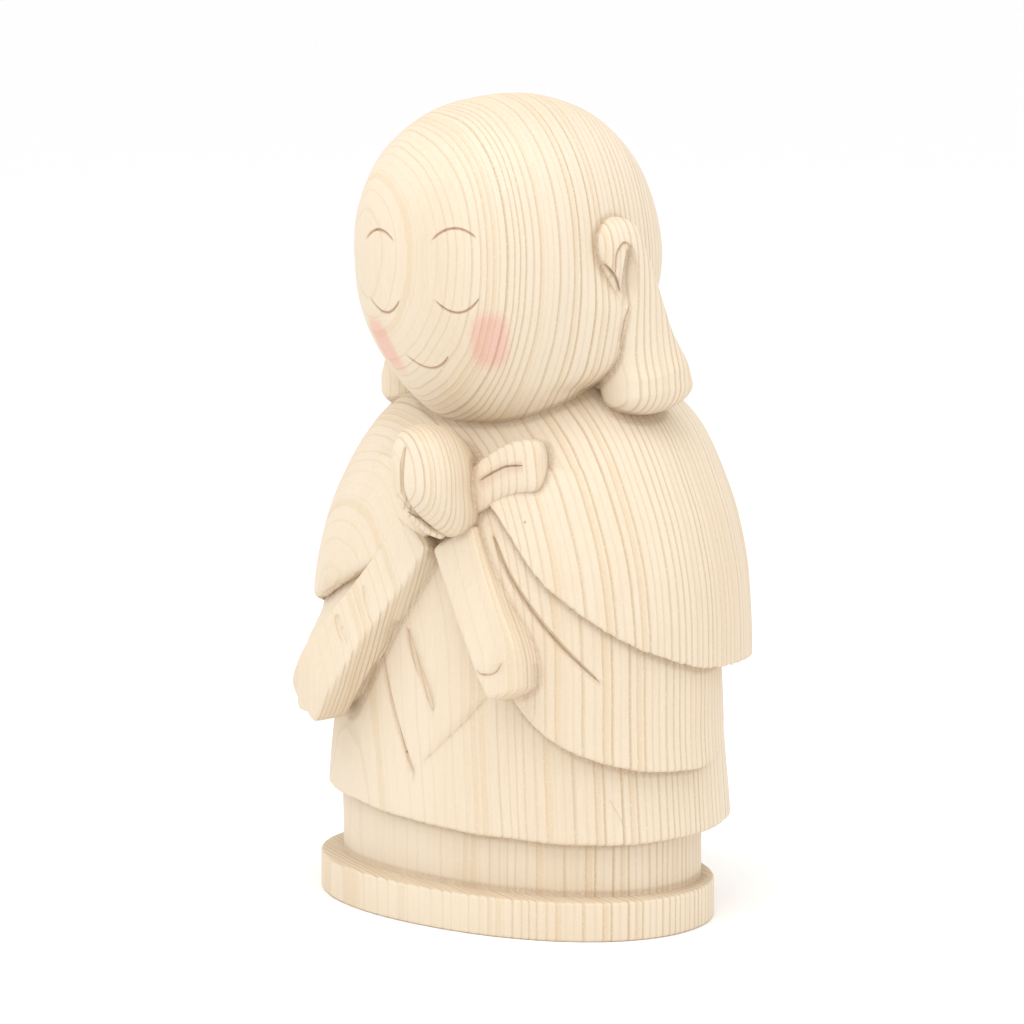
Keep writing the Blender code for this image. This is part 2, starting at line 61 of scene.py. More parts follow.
# the robes' plan: half width, half depth in front and half depth behind, by height
BODY_CENTRE_Y = 3.5
PLAN_POWER = 2.12                 # between an ellipse (2) and a rounded oblong
SKIRT_PLAN = (44.6, 28.0, 31.0)
SKIRT_SHIFT = 0.3                 # the skirt's middle is this share of the robes' as far back
ROBE_HEIGHTS = (10, 21, 36, 53, 71, 86, 101)
ROBE_PLAN = ((49.6, 48.6, 47.2, 46.4, 45.0, 40.0, 30.0),
             (33.6, 33.0, 32.2, 31.6, 29.2, 25.5, 18.0),
             (36.8, 36.2, 35.8, 35.6, 34.6, 32.0, 25.0))
CAPE_HEIGHTS = (49, 57, 67, 79, 89, 97, 103, 109)
CAPE_PLAN = ((53.0, 52.8, 51.8, 48.6, 43.8, 38.6, 32.4, 23.5),
             (36.0, 35.6, 34.2, 31.0, 27.0, 22.2, 17.0, 10.0),
             (43.0, 43.0, 43.0, 42.6, 42.0, 40.8, 37.8, 30.5))
LEAST_OVERLAP = 2.0               # the cape stands at least this far off the sleeves
OVERLAP_ENDS = (92.0, 100.0)      # heights between which that runs out
LEAST_STEP = 0.03                 # the sleeves stand at least this far off the robe
UNDERCUT = 0.6                    # how far up behind a hem the layer inside it is carried

# hems: height by angle round the figure, for the robe, the sleeves and the cape in that order
ROBE_HEM = ((-180, -110, -55, -22, 9, 60, 93, 180), (13.0, 13.0, 15.0, 13.8, 12.9, 11.9, 12.6, 13.0))
SLEEVE_HEM = ((-180, -112, -98, -85, -73, -62, -52, -40, -34, -27, -17, -3,
               3, 17, 27, 34, 41, 51, 62, 73, 85, 98, 112, 180),
              (37, 35.8, 34, 33, 32.8, 32.8, 33.5, 37.7, 43, 48.8, 59.5, 78,
               78, 59.5, 48.8, 42.8, 37.6, 32.8, 29.7, 28, 27.5, 30, 35, 37))
CAPE_HEM = ((-180, -120, -87, -60, -47, -34, -20, -6, 4, 9, 15, 20, 27, 34, 42, 50, 60, 70, 87, 120, 180),
            (49.0, 49.6, 53.4, 58.4, 62.8, 66.6, 69.9, 75.5, 81.1, 85, 86.3, 86, 82.6, 76.9, 69.7,
             64.6, 58.8, 54.3, 49.6, 48.4, 49.0))
HEM_ROUND = (0.9, 0.7, 0.6)       # radius of each
HEM_SHARE = 0.7                   # at most this share of the step that it covers
HEM_TEARS = (0.6, 0.8, 1.4)       # how much each is torn
# degrees along a hem from one tear, and from one slow sway, to the next
TEAR_LENGTHS = (1.7, 2.3, 3.1, 4.7, 7.9)
SWAY_LENGTHS = (24.0, 36.0, 60.0)
TEAR_SEED = 5
SWAY_SEED = 9
HEM_BEVEL = 1.9                   # the cape's hem is bevelled this much more on the right of the chest
HEM_BEVEL_BEGINS = (-100, -75)    # angles over which it comes in, and over which it runs out
HEM_BEVEL_ENDS = (-30, -8)

# sleeves: how far they stand off the robe, by height, on the figure's right and left
SLEEVE_HEIGHTS = (33, 45, 56, 65, 90)
SLEEVE_STAND_RIGHT = (9.0, 7.6, 3.6, 2.4, 2.0)
SLEEVE_STAND_LEFT = (3.4, 3.8, 4.0, 3.8, 2.4)
SLEEVE_FADE = (82, 114)           # angles between which they run out behind the arms
# by height, how far from the figure's middle they begin, and how much further out they stand off in full
SLEEVE_MOUTH = ((36, 48, 56, 64, 72), (22, 15, 10, 5, 0))
SLEEVE_RISE = 5.0

# sleeve mouths: centre of the front face from the wrist down, with its width
MOUTH_HEIGHTS_LEFT = (77.5, 68.3, 60.3, 52.3, 44.2)
MOUTH_HEIGHTS_RIGHT = (77.5, 68.3, 60.3, 52.3, 45.0, 33.8)
MOUTH_X = (4.8, 10.2, 15.4, 20.8)
MOUTH_Y = (-28.8, -30.6, -32.4, -33.9, -34.0, -31.5)
MOUTH_X_LEFT_END = 23.6
MOUTH_X_RIGHT = (4.8, 10.2, 16.0, 22.2, 28.2, 35.6)
MOUTH_WIDTH_LEFT = (12.6, 12.4, 12.4, 12.8, 9.0)
MOUTH_WIDTH_RIGHT = (12.6, 12.4, 12.4, 13.2, 14.3, 12.4)
MOUTH_DEPTH = 9.0
MOUTH_LEAN = (0.83, 0.06, 0.55)   # which way a mouth's width runs, towards its own side, back and up
MOUTH_LEAN_RIGHT = (0.83, 0.26, 0.55)
MOUTH_POWER = 8.0
MOUTH_TOP_ROUND = 2.0
MOUTH_END_ROUND = (2.0, 6.0)      # at the lower end of the left and of the right mouth

# head: half width, front and back, and its reach above and below its middle
HEAD_CENTRE = (-0.6, -1.6, 134.2)
HEAD_HALF = (32.0, 32.6, 34.0)
HEAD_UP = 36.9
HEAD_DOWN = 37.2
HEAD_POWER = 2.25
JAW = (0.12, 0.22, 4.0)           # shares by which it narrows across and front to back, and its way forward
BOW = 8.0                         # degrees forward
TILT = -3.0                       # degrees to its left, so the crown leans a little to its right
# how far the cheek swells over the front of the ear by height from the head's middle, and where the swelling
# begins and ends from front to back and from the middle outwards
CHEEK_SWELL = ((-27.0, -24.5, -21.5, -16.0, -10.0, -6.0, -1.0, 3.0),
               (0.0, 3.6, 4.9, 4.6, 4.2, 2.7, 0.8, 0.0))
CHEEK_BEGINS = (-16.0, -3.0)
CHEEK_ENDS = (3.0, 12.0)
CHEEK_ACROSS = (8.0, 18.0)

# nape: fills in between the jaw and the ears, down into the shoulders
NAPE_BEHIND = 8.0
NAPE_BELOW = 24.0
NAPE_INSET = 1.4                  # its side inside the head's half width
NAPE_HALF = (10.5, 16.0, 17.0, 14.0)   # front, back, up and down
NAPE_POWER = 2.3

# hands: half width, front, back and half height, the share of that half width on the right, and the
# rolled rim of the cuff under them
HAND_CENTRE = (0.0, -31.6, 89.1)
HAND_HALF = (9.9, 7.7, 12.2, 12.2)
HAND_RIGHT = 0.58
HAND_POWER = 2.4
WRIST_NARROWS = (0.2, 0.15)       # shares by which the wrists narrow across and front to back
WRIST_SHIFT = (4.9, 4.1)          # how far they lie to the left and back
FINGER_SHIFT = 1.2                # how far the fingertips lie to the right
CUFF_LINE = ((-2.6, -37.9, 89.0), (-1.9, -37.5, 86.4), (-1.0, -36.3, 83.8), (0.3, -34.4, 81.0),
             (2.2, -32.0, 78.5), (4.4, -30.0, 77.4))
CUFF_WIDTH = 1.9
CUFF_LEAN = (0.7, 0.5, 0.5)
CUFF_POWER = 2.0
CUFF_END_ROUND = 1.0

# ears: centre line from the rim to the lobe, outside the head's half width and from the head's middle,
# then the pointed hollow's place and half sizes in the same terms
EAR_LINE = ((-1.2, -4.4, 9.8), (0.8, -3.8, 3.3), (1.3, -0.8, -4.7), (0.3, 3.2, -14.7),
            (-1.0, 5.8, -24.2), (0.0, 6.6, -33.2))
EAR_WIDTH = (8.4, 11.9, 11.5, 12.9, 18.5, 19.8)
EAR_DEPTH = (5.0, 6.5, 6.9, 10.4, 17.6, 17.4)
EAR_LEAN = (0.26, 1.0, 0.0)
EAR_POWER = 2.6
EAR_END_ROUND = (4.0, 5.0)        # at the rim and at the lobe
EAR_HOLLOW = (4.6, -4.6, -3.8)
EAR_HOLLOW_HALF = (3.6, 2.3, 8.4)
EAR_HOLLOW_POWER = 1.6

# the cloth's loop on the left of the chest
LOOP_LINE = ((4.0, -25.5, 83.0), (9.4, -24.2, 87.0), (14.5, -22.4, 90.8), (19.8, -20.6, 92.8),
             (23.6, -18.9, 93.0))
LOOP_WIDTH = (7.5, 9.0, 10.5, 11.8, 10.5)
LOOP_DEPTH = 6.0
LOOP_POWER = 4.0
LOOP_LEAN = (-0.35, 0.0, 1.0)

# hair lines of the face: their width, depth and lean, then x, height over the head's middle, half width
# and rise or sag of each arc
FACE_LINE = (0.8, 0.45, 0.5)
BROW = (10.2, 11.2, 4.9, 2.2)
EYE = (10.0, -1.6, 5.0, 2.9)
SMILE = (-1.6, -14.3, 5.9, 2.9)

# chisel cuts: where each is seen from, its path there as (across, up), width, depth, lean to one side
# and how much it is burnished and darkened with painted shade in the groove. A cut is seen from an angle
# round the figure, in the figure's own axes (None) or in those of the bowed and tilted head. They are two
# folds of the robe, its overlap, the sleeve's fold, the loop's slit, the seam of the palms, a hooked mark,
# two wrinkles and a nick
FRONT = (0.0, None)
CORNER = (38.0, None)
CUTS = (
    (FRONT, ((-15.7, 48.4), (-14.4, 43.5), (-11.7, 36.5), (-7.8, 28.6), (-5.2, 24.2)), 1.1, 0.7, 0.4, 0.8),
    (FRONT, ((-8.5, 55.6), (-6.9, 51.4), (-4.8, 47.2), (-2.4, 42.8), (-0.2, 38.4)), 3.6, 1.3, 0.15, 0.6),
    (FRONT, ((-2.1, 27.3), (3.6, 32.6), (8.3, 37.0), (13.4, 42.4)), 2.6, 0.6, 0.15, 0.3),
    (FRONT, ((14.5, 78.0), (18.6, 71.0), (25.0, 63.0), (31.2, 56.0), (38.6, 48.0)), 1.3, 1.1, 0.3, 0.8),
    (FRONT, ((11.4, 89.7), (12.6, 90.6), (14.4, 91.7), (17.2, 93.0), (20.5, 93.3)), 0.65, 0.6, 0.5, 0.9),
    (FRONT, ((0.0, 97.2), (0.0, 92.0), (0.4, 86.0), (1.2, 81.5)), 1.3, 1.0, 0.5, 0.4),
    (FRONT, ((16.3, 50.0), (17.6, 49.3), (19.6, 49.4), (21.7, 50.5), (22.9, 52.3)), 0.6, 0.35, 0.5, 0.4),
    (FRONT, ((-24.4, 57.6), (-23.2, 54.6), (-19.6, 52.0)), 3.0, 0.6, 0.25, 0.2),
    (FRONT, ((-17.6, 64.6), (-16.4, 60.4), (-13.2, 57.2)), 2.6, 0.45, 0.3, 0.1),
    (CORNER, ((20.3, 22.1), (21.6, 19.6), (23.8, 15.6)), 0.45, 0.2, 0.5, 0.0),
)
# the line inside an ear's rim and the notch in front of it, likewise
EAR_CUTS = (
    (((10.7, -2.9), (11.0, 1.8), (12.4, 3.9), (13.4, 4.5), (15.3, 2.8), (15.9, -0.7), (15.7, -4.1),
      (14.4, -9.1), (13.4, -13.9), (13.2, -18.3)), 0.7, 0.6, 0.5, 0.5),
    (((8.6, 0.2), (9.2, -0.7), (10.8, -2.8), (12.0, -5.8)), 0.8, 0.9, 0.4, 0.8),
)
EAR_SEEN_FROM = 60.0

# rouge: where each patch is seen from, its middle there as (across, up) and its half sizes
ROUGE = ((38.0, (-5.3, 120.0), (4.2, 6.1)), (-38.0, (5.0, 117.4), (4.2, 6.1)))
# knots: place, radius and strength
KNOTS = (((7.6, -27.5, 98.4), 0.9, 0.9), ((22.1, -24.8, 81.4), 0.42, 0.55), ((-7.9, -28.2, 28.2), 0.5, 0.9))
KNOT_CORE = 0.45                  # share of that radius where it is darkest
# a cut's burnished colour is partly burnished wood and partly painted shade in its groove
CUT_CLEARANCE = 1.0               # how far a cut's sides are carried on above the wood, of its depth
CUT_STEPS = 41
CUT_STEADY = 5                    # places before and after that a cut's own way up is averaged over
CUT_ENDS = 0.08                   # share of its width and depth that a cut has at its ends
SIGHT_DISTANCE = 200.0            # the cuts' paths are looked for from this far off
CUT_REACH = 0.55                  # how far a cut's burnished colour reaches from its path
# the creases it finds are darkened with painted shade in the wood's colour
CREASE_BALL = 2.2                 # a ball of this radius finds creases, where it has no room

# growth rings: how far the slow noise bends them, over how many millimetres they begin to crowd, and where
# in a ring's width the late wood begins and ends, with the shift of its beginning where it is flat sawn
RING_SWAY = 2.6
RING_QUIVER = 0.35
CROWDING_BLEND = 6.0
LATE_BEGINS = (0.54, 0.88)
LATE_SHIFT = (0.24, 0.06)
LATE_ENDS = (1.0, 0.95)
# how far the wood has to face the pith to be flat sawn, and up or down to be end grain, from 0 to 1
FLAT_SAWN = (0.62, 0.97)
END_GRAIN = (0.55, 0.99)
# noises of the wood: shares of the place across and along the grain, detail, roughness, cycles a millimetre
FIBRE = (1.0, 0.030, 3.0, 0.65, 1.5)
FINE_FIBRE = (1.0, 0.10, 2.0, 0.6, 5.0)
BROAD_TINT = (1.0, 0.22, 2.0, 0.5, 0.045)
CRACKLE = (1.0, 1.6, 3.0, 0.6, 1.9)
FLECK = (1.6, 0.55, 2.0, 0.7, 2.2)
GRIT = (1.0, 0.45, 1.0, 0.6, 6.5)
SPECKLE = (1.0, 1.0, 2.0, 0.7, 3.2)
# how strongly each colour is laid on
WARM_SHARE = 0.65
PALE_AND_HIGHLIGHT_SHARE = 0.6
CUT_SHARE = 0.42
CREASE_SHADE_SHARE = 0.55
LINE_SHARE = 0.42
ROUGE_SHARE = 0.56
# where a face line's colour fades: off its middle in millimetres, and along it, where 1 is its end
LINE_FADE = (0.42, 0.08)
LINE_END_FADE = (1.10, 0.80)
ROUGE_FADE = (1.25, 0.62)         # likewise round a rouge patch, where 1 is its edge
ROUGE_POWER = 3.0
ON_FRONT = (0.0, -10.0)           # face lines and rouge come in from here to here, front being less than 0
WOOD_ROUGHNESS = 0.60
WOOD_SPECULAR = 0.30
BUMP_STRENGTH = 0.7
BUMP_DISTANCE = 0.00009           # metres

# stage: each light's name, turn from the camera and height in degrees, distance and size in metres, and its
# share of the key light's power
LIGHTS = (("key", -40.0, 60.0, 0.9, 0.8, 1.0), ("fill", 48.0, 60.0, 1.1, 1.0, 0.8))
FLOOR_REACH = 30.0                # metres each way
FLOOR_ROUGHNESS = 0.8

# points round each surface and rows along it
BODY_AROUND = ((-180, -70, 70, 130, 180), (50, 230, 90, 30))
BODY_WALLS = (14, 24, 26, 54)
HEM_BENDS = 5
HEAD_GRID = (170, 96)
NAPE_GRID = (60, 26)
HAND_GRID = (72, 50)
CUFF_GRID = (16, 60)
MOUTH_GRID = (52, 74)
EAR_GRID = (64, 90)
HOLLOW_GRID = (28, 24)
LOOP_GRID = (44, 50)
DISC_AROUND = 200
DISC_BENDS = 4
DISC_INSETS = (8.0, 3.0)          # rings inside its flat faces, so far in from the rim
ARC_POINTS = 11
LEAST_CAP = 0.02                  # square of the share of its section that a bar has at its ends
HEAD_MARKS_SHIFT = 40.0           # sets the head's tool marks apart from the robes'
SHARP_EDGE = 38                   # degrees


# Numbers

def smooth(x, low, high):
    """Smooth step: 3 t squared less 2 t cubed, where t runs from 0 at low to 1 at high."""
    t = np.clip((x - low) / (high - low), 0.0, 1.0)
    return t * t * (3.0 - 2.0 * t)


def through(x, xs, ys):
    """Monotone cubic through the points (xs, ys): Hermite pieces whose slopes are harmonic means."""
    xs, ys = np.asarray(xs, float), np.asarray(ys, float)
    step = np.diff(xs)
    slope = np.diff(ys) / step
    tangent = np.empty_like(ys)
    same_way = slope[:-1] * slope[1:] > 0
    mean = 2 * slope[:-1] * slope[1:] / np.where(same_way, slope[:-1] + slope[1:], 1.0)
    tangent[1:-1] = np.where(same_way, mean, 0.0)
    tangent[0], tangent[-1] = slope[0], slope[-1]
    x = np.clip(x, xs[0], xs[-1])
    i = np.clip(np.searchsorted(xs, x, side="right") - 1, 0, len(step) - 1)
    t = (x - xs[i]) / step[i]
    return ((1 + 2 * t) * (1 - t) ** 2 * ys[i] + t * (1 - t) ** 2 * step[i] * tangent[i]
            + t * t * (3 - 2 * t) * ys[i + 1] + t * t * (t - 1) * step[i] * tangent[i + 1])


def ripple(values, lengths, seed):
    """A fixed random ripple along one number: a sum of sines of the given lengths, from -1 to 1."""
    draw = np.random.default_rng(seed)
    phases = draw.uniform(0, 2 * np.pi, len(lengths))
    waves = np.sin(2 * np.pi * values[..., None] / np.asarray(lengths, float) + phases)
    return waves.mean(axis=-1)


def tool_marks(points):
    """Shallow hollows of the knife, from -1 to 1: three sine waves of 11 to 23 mm across each other."""
    x, y, z = points[..., 0], points[..., 1], points[..., 2]
    turn = 2 * np.pi
    return (np.sin(turn * (x / 14 + z / 19) + 1.3) + 0.7 * np.sin(turn * (y / 11 - z / 23) + 0.4)
            + 0.5 * np.sin(turn * (x / 21 - y / 16 + z / 12) + 2.1)) / 2.2


# Surfaces

def plan_radius(angle, half_width, front, back):
    """Superellipse: (|sin a| / width) ^ p + (|cos a| / depth) ^ p, to the power -1 / p."""
    half_depth = np.where(np.cos(angle) > 0, front, back)
    across, along = np.abs(np.sin(angle)) / half_width, np.abs(np.cos(angle)) / half_depth
    return (across ** PLAN_POWER + along ** PLAN_POWER) ** (-1 / PLAN_POWER)


def robe_radius(angle, z):
    """The robe's superellipse, its half axes read by height."""
    return plan_radius(angle, *(through(z, ROBE_HEIGHTS, row) for row in ROBE_PLAN))


def sleeve_radius(angle, z):
    """The robe's radius and, beside the chest, how far the sleeve stands off it."""
    robe = robe_radius(angle, z)
    right = through(z, SLEEVE_HEIGHTS, SLEEVE_STAND_RIGHT)
    left = through(z, SLEEVE_HEIGHTS, SLEEVE_STAND_LEFT)
    around = np.abs(np.degrees(angle))
    mouth = through(z, *SLEEVE_MOUTH)
    across = np.abs(robe * np.sin(angle))
    front = np.where(around > 90, 1.0, smooth(across, mouth, mouth + SLEEVE_RISE))
    back = 1.0 - smooth(around, *SLEEVE_FADE)
    return robe + LEAST_STEP + np.where(angle < 0, right, left) * front * back


def cape_radius(angle, z):
    """The larger of the cape's own superellipse and the sleeves' radius with the least overlap."""
    cape = plan_radius(angle, *(through(z, CAPE_HEIGHTS, row) for row in CAPE_PLAN))
    least = (sleeve_radius(angle, z) + LEAST_OVERLAP) * (1.0 - smooth(z, *OVERLAP_ENDS))
    return np.maximum(cape, least)


def robes_surface(angles, marks, fray):
    """Rings from the foot to the neck: each wall is radius (angle, height) between one hem and the next,
    and each hem a quarter circle from the layer inside it out to its own wall."""
    rows = []

    def row(radius, z, shift=1.0):
        x = radius * np.sin(angles)
        y = BODY_CENTRE_Y * shift - radius * np.cos(angles)
        points = np.stack([x, y, z + 0 * angles], -1)
        out = np.stack([np.sin(angles), -np.cos(angles), 0 * angles], -1)
        rows.append(points + out * (marks * tool_marks(points))[:, None])

    def wall(radius_at, low, high, count):
        for k in np.linspace(0, 1, count + 1)[1:]:
            z = low + (high - low) * k
            row(radius_at(z), z)

    def undercut(inner_at, outer_at, bottom):
        return np.minimum(UNDERCUT, 0.5 * np.maximum(outer_at(bottom) - inner_at(bottom), 0.0))

    def hem(inner, outer_at, bottom, round_):
        outer = outer_at(bottom + round_)
        round_ = np.minimum(round_, HEM_SHARE * (outer - inner))
        for a in np.linspace(0, np.pi / 2, HEM_BENDS + 1):
            row(outer - round_ + round_ * np.sin(a), bottom + round_ * (1 - np.cos(a)))
        return bottom + round_

    def robe(z):
        return robe_radius(angles, z)

    def sleeves(z):
        return sleeve_radius(angles, z)

    def cape(z):
        return cape_radius(angles, z)

    skirt = plan_radius(angles, *SKIRT_PLAN)
    degrees = np.degrees(angles)
    torn = ripple(degrees, TEAR_LENGTHS, TEAR_SEED)
    sway = ripple(degrees, SWAY_LENGTHS, SWAY_SEED)
    robe_hem, sleeve_hem, cape_hem = (through(degrees, *line) + fray * (torn * tears + sway) for line, tears
                                      in zip((ROBE_HEM, SLEEVE_HEM, CAPE_HEM), HEM_TEARS))
    row(skirt, -FOOTING, SKIRT_SHIFT)
    for k in np.linspace(0, 1, BODY_WALLS[0] + 1)[1:]:
        row(skirt, (robe_hem + UNDERCUT) * k, SKIRT_SHIFT)
    low = hem(skirt, robe, robe_hem, HEM_ROUND[0])
    top = sleeve_hem + undercut(robe, sleeves, sleeve_hem)
    wall(robe, low, top, BODY_WALLS[1])
    low = hem(robe(top), sleeves, sleeve_hem, HEM_ROUND[1])
    top = cape_hem + undercut(sleeves, cape, cape_hem)
    wall(sleeves, low, top, BODY_WALLS[2])
    bevel = HEM_BEVEL * (1.0 - smooth(degrees, *HEM_BEVEL_ENDS)) * smooth(degrees, *HEM_BEVEL_BEGINS)
    low = hem(sleeves(top), cape, cape_hem, HEM_ROUND[2] + bevel)
    wall(cape, low, CAPE_HEIGHTS[-1], BODY_WALLS[3])
    return np.array(rows)


def turned(points, forward, sideways):
    """Points turned about the head's middle: the bow's matrix, then the tilt's, in degrees."""
    about = np.array(HEAD_CENTRE)
    a, b = np.radians([forward, sideways])
    bow = np.array([[1, 0, 0], [0, np.cos(a), -np.sin(a)], [0, np.sin(a), np.cos(a)]])
    tilt = np.array([[np.cos(b), 0, np.sin(b)], [0, 1, 0], [-np.sin(b), 0, np.cos(b)]])
    return (points - about) @ (tilt @ bow).T + about


def ball_surface(half_x, half_front, half_back, up, down, power, grid):
    """Superellipsoid: each direction (longitude, latitude) times the reach at which
    |x / a| ^ p + |y / b| ^ p + |z / c| ^ p is 1."""
    around, rings = grid
    u = np.linspace(-np.pi, np.pi, around, endpoint=False)[None, :]
    v = np.linspace(-np.pi / 2, np.pi / 2, rings + 2)[1:-1, None]
    d = np.stack(np.broadcast_arrays(np.cos(v) * np.sin(u), -np.cos(v) * np.cos(u), np.sin(v)), -1)
    half_y = np.where(d[..., 1] < 0, half_front, half_back)
    half_z = np.where(d[..., 2] > 0, up, down)
    reach = (np.abs(d[..., 0] / half_x) ** power + np.abs(d[..., 1] / half_y) ** power
             + np.abs(d[..., 2] / half_z) ** power) ** (-1 / power)
    return d * reach[..., None]


def head_surface(marks):
    """The head's superellipsoid, its jaw narrowed and brought forward by a smooth step and its cheeks
    swollen by a product of three, then bowed."""
    p = ball_surface(*HEAD_HALF, HEAD_UP, HEAD_DOWN, HEAD_POWER, HEAD_GRID)
    jaw = smooth(-p[..., 2], 0.0, HEAD_DOWN)
    p[..., 0] *= 1 - JAW[0] * jaw
    p[..., 1] = p[..., 1] * (1 - JAW[1] * jaw) - JAW[2] * jaw
    level = turned(p + np.array(HEAD_CENTRE), BOW, 0.0) - np.array(HEAD_CENTRE)
    swell = through(level[..., 2], *CHEEK_SWELL) * smooth(level[..., 1], *CHEEK_BEGINS)
    swell *= (1 - smooth(level[..., 1], *CHEEK_ENDS)) * smooth(np.abs(p[..., 0]), *CHEEK_ACROSS)
    p[..., 0] += np.sign(p[..., 0]) * swell
    out = p / np.linalg.norm(p, axis=-1, keepdims=True)
    p = p + out * (marks * tool_marks(p + HEAD_MARKS_SHIFT))[..., None]
    return turned(p + HEAD_CENTRE, BOW, TILT)


def nape_surface():
    """A superellipsoid behind the jaw, as wide as the head less its inset."""
    p = ball_surface(HEAD_HALF[0] - NAPE_INSET, *NAPE_HALF, NAPE_POWER, NAPE_GRID)
    return p + np.array(HEAD_CENTRE) + np.array([0.0, NAPE_BEHIND, -NAPE_BELOW])


def hands_surface():
    """A superellipsoid for both palms, thin on the right; smooth steps slant it back to narrow wrists."""
    half_width, front, back, half_height = HAND_HALF
    p = ball_surface(half_width, front, back, half_height, half_height, HAND_POWER, HAND_GRID)
    wrist = smooth(-p[..., 2], 0.0, half_height)
    fingers = smooth(p[..., 2], 0.0, half_height)
    p[..., 0] *= np.where(p[..., 0] < 0, HAND_RIGHT, 1.0) * (1 - WRIST_NARROWS[0] * wrist)
    p[..., 0] += WRIST_SHIFT[0] * wrist - FINGER_SHIFT * fingers
    p[..., 1] = p[..., 1] * (1 - WRIST_NARROWS[1] * wrist) + WRIST_SHIFT[1] * wrist
    return p + HAND_CENTRE


def cuff_surface():
    """The rolled rim of the right sleeve under the hands: a round section carried along a line."""
    return bar_surface(CUFF_LINE, CUFF_WIDTH, CUFF_WIDTH, CUFF_LEAN, CUFF_GRID, CUFF_POWER,
                       (CUFF_END_ROUND, CUFF_END_ROUND))


def bar_surface(line, width, depth, lean, grid, power=3.0, round_ends=(2.0, 2.0)):
    """A superelliptic section carried along a line: centre (t) + half width u across + half depth v out,
    where |u| ^ p + |v| ^ p is 1, drawn in to a quarter circle at both ends."""
    around, steps = grid
    line = np.asarray(line, float)
    along = np.concatenate([[0.0], np.cumsum(np.linalg.norm(np.diff(line, axis=0), axis=1))])
    t = (1 - np.cos(np.linspace(0, np.pi, steps))) / 2 * along[-1]
    centre = np.stack([through(t, along, line[:, k]) for k in range(3)], -1)
    tangent = np.gradient(centre, t, axis=0)
    tangent /= np.linalg.norm(tangent, axis=1, keepdims=True)
    across = np.array(lean, float) - tangent * (tangent @ np.array(lean, float))[:, None]
    across /= np.linalg.norm(across, axis=1, keepdims=True)
    out = np.cross(across, tangent)
    half_width = through(t, along, np.broadcast_to(width, along.shape)) / 2
    half_depth = through(t, along, np.broadcast_to(depth, along.shape)) / 2
    start = np.clip(t / round_ends[0], 0, 1)
    end = np.clip((along[-1] - t) / round_ends[1], 0, 1)
    cap = np.sqrt(np.clip(1 - (1 - start) ** 2, LEAST_CAP, 1) * np.clip(1 - (1 - end) ** 2, LEAST_CAP, 1))
    a = np.linspace(0, 2 * np.pi, around, endpoint=False) + np.pi / around
    u = np.sign(np.cos(a)) * np.abs(np.cos(a)) ** (2 / power)
    v = np.sign(np.sin(a)) * np.abs(np.sin(a)) ** (2 / power)
    return (centre[:, None] + (half_width * cap)[:, None, None] * u[None, :, None] * across[:, None]
            + (half_depth * cap)[:, None, None] * v[None, :, None] * out[:, None])


def mouth_surface(side):
    """The thick front edge of a hanging sleeve: a squarish bar from the wrist down."""
    if side > 0:
        heights, width = MOUTH_HEIGHTS_LEFT, MOUTH_WIDTH_LEFT
        xs, lean, end = MOUTH_X + (MOUTH_X_LEFT_END,), MOUTH_LEAN, MOUTH_END_ROUND[0]
    else:
        heights, width = MOUTH_HEIGHTS_RIGHT, MOUTH_WIDTH_RIGHT
        xs, lean, end = MOUTH_X_RIGHT, MOUTH_LEAN_RIGHT, MOUTH_END_ROUND[1]
    line = [(side * x, y + MOUTH_DEPTH / 2, z) for x, y, z in zip(xs, MOUTH_Y, heights)]
    lean = (side * lean[0], lean[1], lean[2])
    return bar_surface(line, width, MOUTH_DEPTH, lean, MOUTH_GRID, MOUTH_POWER, (MOUTH_TOP_ROUND, end))


def ear_place(side, x, y, z):
    """A place on an ear, from how far it is outside the head's half width, behind and above its middle."""
    return side * (HEAD_HALF[0] + x), HEAD_CENTRE[1] + y, HEAD_CENTRE[2] + z


def ear_surface(side):
    """An ear and its long lobe: a flat bar, tilted with the head."""
    line = [ear_place(side, *place) for place in EAR_LINE]
    lean = (side * EAR_LEAN[0], EAR_LEAN[1], EAR_LEAN[2])
    ear = bar_surface(line, EAR_WIDTH, EAR_DEPTH, lean, EAR_GRID, EAR_POWER, EAR_END_ROUND)
    return turned(ear, 0.0, TILT)


def hollow_surface(side):
    """The pointed hollow of an ear: a superellipsoid with a power under 2, tilted with the head."""
    half_x, half_y, half_z = EAR_HOLLOW_HALF
    hollow = ball_surface(half_x, half_y, half_y, half_z, half_z, EAR_HOLLOW_POWER, HOLLOW_GRID)
    return turned(hollow + np.array(ear_place(side, *EAR_HOLLOW)), 0.0, TILT)


def disc_surface(width, depth, thickness, edge):
    """The disc: its plan's superellipse times a profile of height, quarter circles at both rims."""
    angles = np.linspace(-np.pi, np.pi, DISC_AROUND, endpoint=False)
    bend = np.linspace(0, np.pi / 2, DISC_BENDS + 1)
    low, high = edge * (1 - np.cos(bend)), edge * (1 - np.sin(bend))
    inset = np.concatenate([DISC_INSETS, high, low, DISC_INSETS[::-1]])
    z = np.concatenate([[0.0, 0.0], low, thickness - edge + edge * np.sin(bend), [thickness, thickness]])
    radius = plan_radius(angles[None, :], width / 2, depth / 2, depth / 2) - inset[:, None]
    level = z[:, None] + 0 * radius - thickness
    return np.stack([radius * np.sin(angles), -radius * np.cos(angles), level], -1)


def arc(x, z, half_width, rise):
    """A parabola as (x, z) points: z + rise (1 - s squared), s from -1 to 1."""
    s = np.linspace(-1, 1, ARC_POINTS)
    return np.stack([x + half_width * s, z + rise * (1 - s * s)], -1)


# Meshes

def metres(points, scale, lift):
    """Places in millimetres above the disc, as places in metres above the floor."""
    return points * scale + np.array([0.0, 0.0, lift])


def millimetres(points, scale, lift):
    """Places in metres above the floor, as places in millimetres above the disc."""
    return (points - np.array([0.0, 0.0, lift])) / scale


